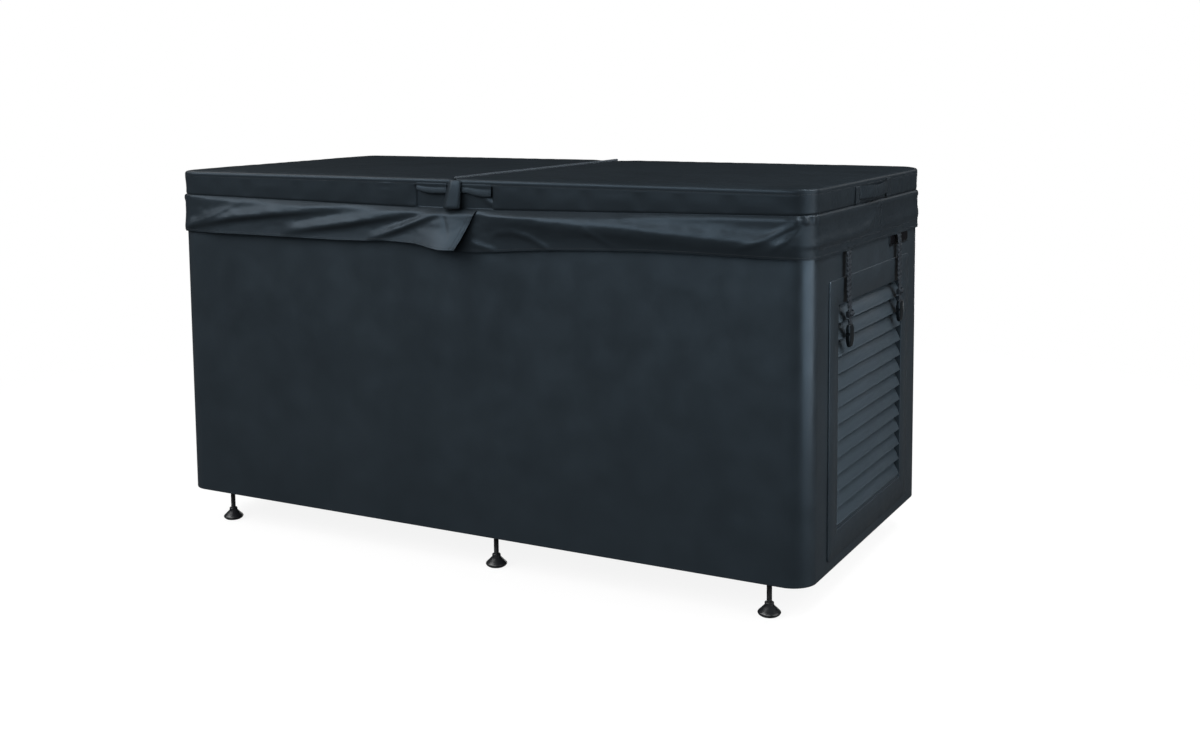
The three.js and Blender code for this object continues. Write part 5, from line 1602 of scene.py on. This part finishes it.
def show_white(tree, share, plain, white, output):
    """Ends a tree: a share of white over the plain surface."""
    parts = [(0, share), (1, plain.outputs[0]), (2, white.outputs[0])]
    blend = add_node(tree, "ShaderNodeMixShader", parts)
    tree.links.new(blend.outputs[0], tree.nodes[output].inputs["Surface"])


def studio_floor():
    """Pale to the camera and white far off, and dark to all else so that it lights little."""
    far = FLOOR_REACH
    corners = [(-far, -far, 0), (far, -far, 0), (far, far, 0), (-far, far, 0)]
    floor = made("studio_floor", corners, [(0, 1, 2, 3)])
    material = bpy.data.materials.new("pale_floor")
    material.use_nodes = True
    tree = material.node_tree
    ground = tree.nodes["Principled BSDF"]
    to_camera = add_node(tree, "ShaderNodeLightPath").outputs["Is Camera Ray"]
    paleness = mixed(tree, to_camera, FLOOR_DARK, FLOOR_PALE)
    tree.links.new(paleness, ground.inputs["Base Color"])
    ground.inputs["Roughness"].default_value = 0.9
    ground.inputs["Specular IOR Level"].default_value = 0.0
    white = add_node(tree, "ShaderNodeEmission")
    seen = seen_by(tree)
    place = add_node(tree, "ShaderNodeTexCoord").outputs["Object"]
    away = add_node(tree, "ShaderNodeVectorMath", [(0, place)], operation="LENGTH")
    whitened = ranged(tree, away.outputs["Value"], 0.88, 1.0, 1.2, 2.8)
    share = combined(tree, "MULTIPLY", seen, whitened)
    show_white(tree, share, ground, white, "Material Output")
    floor.data.materials.append(material)


def white_world():
    """White to the camera; gloss and glass see it too, under a dimmer ceiling."""
    world = bpy.data.worlds.new("white_studio")
    bpy.context.scene.world = world
    world.use_nodes = True
    tree = world.node_tree
    fill = tree.nodes["Background"]
    fill.inputs["Color"].default_value = WHITE
    shiny = add_node(tree, "ShaderNodeLightPath").outputs["Is Glossy Ray"]
    dimmer = ranged(tree, shiny, ROOM_FILL, CEILING_SHARE * ROOM_FILL, 0, 1)
    tree.links.new(dimmer, fill.inputs["Strength"])
    white = add_node(tree, "ShaderNodeBackground", strength=1.0)
    white.inputs["Color"].default_value = WHITE
    ahead = add_node(tree, "ShaderNodeTexCoord").outputs["Generated"]
    height = add_node(tree, "ShaderNodeSeparateXYZ", [("Vector", ahead)]).outputs["Z"]
    wall = ranged(tree, height, MIRRORED_WHITE, 0.0, -0.02, 0.05)
    show_white(tree, seen_by(tree, wall), fill, white, "World Output")


def softbox(name, place, target, size, power):
    lamp = bpy.data.lights.new(name, "AREA")
    lamp.shape = "RECTANGLE"
    lamp.size, lamp.size_y = size
    lamp.energy = power
    light = bpy.data.objects.new(name, lamp)
    light.location = place
    light.visible_camera = False
    aim = Vector(target) - Vector(place)
    light.rotation_mode = "QUATERNION"
    light.rotation_quaternion = aim.to_track_quat("-Z", "Y")
    bpy.context.collection.objects.link(light)


studio_floor()
white_world()
softbox("key_light", (-2.6, -3.2, 3.6), (0, -0.4, 0.6), (3.9, 3.0), 270)
softbox("front_light", (0.6, -4.4, 2.2), (0.3, 0, 0.5), (4.2, 2.2), 112)
softbox("upper_light", (-2.4, -0.6, 4.4), (0, -0.4, 0.8), (1.6, 0.9), 12)
softbox("right_light", (2.5, -0.35, 0.80), (0.85, -0.35, 0.6), (1.8, 1.5), 27)
softbox("right_top_light", (2.3, 0.1, 3.6), (0.85, 0, 0.4), (0.8, 0.8), 66)
softbox("back_right_light", (3.6, 1.9, 3.4), (0.85, 0, 0.5), (1.2, 1.2), 95)
softbox("slat_light", (1.9, 3.6, 1.7), (0.85, 0, 0.4), (1.2, 1.0), 2.5)
softbox("back_low_light", (-0.6, 3.2, 0.48), (-0.6, 0, 0.45), (2.6, 0.8), 50)
softbox("left_light", (-3.6, 0.7, 3.6), (-0.6, 0, 0.5), (2.4, 2.4), 34)
bpy.context.scene.view_settings.view_transform = "Standard"
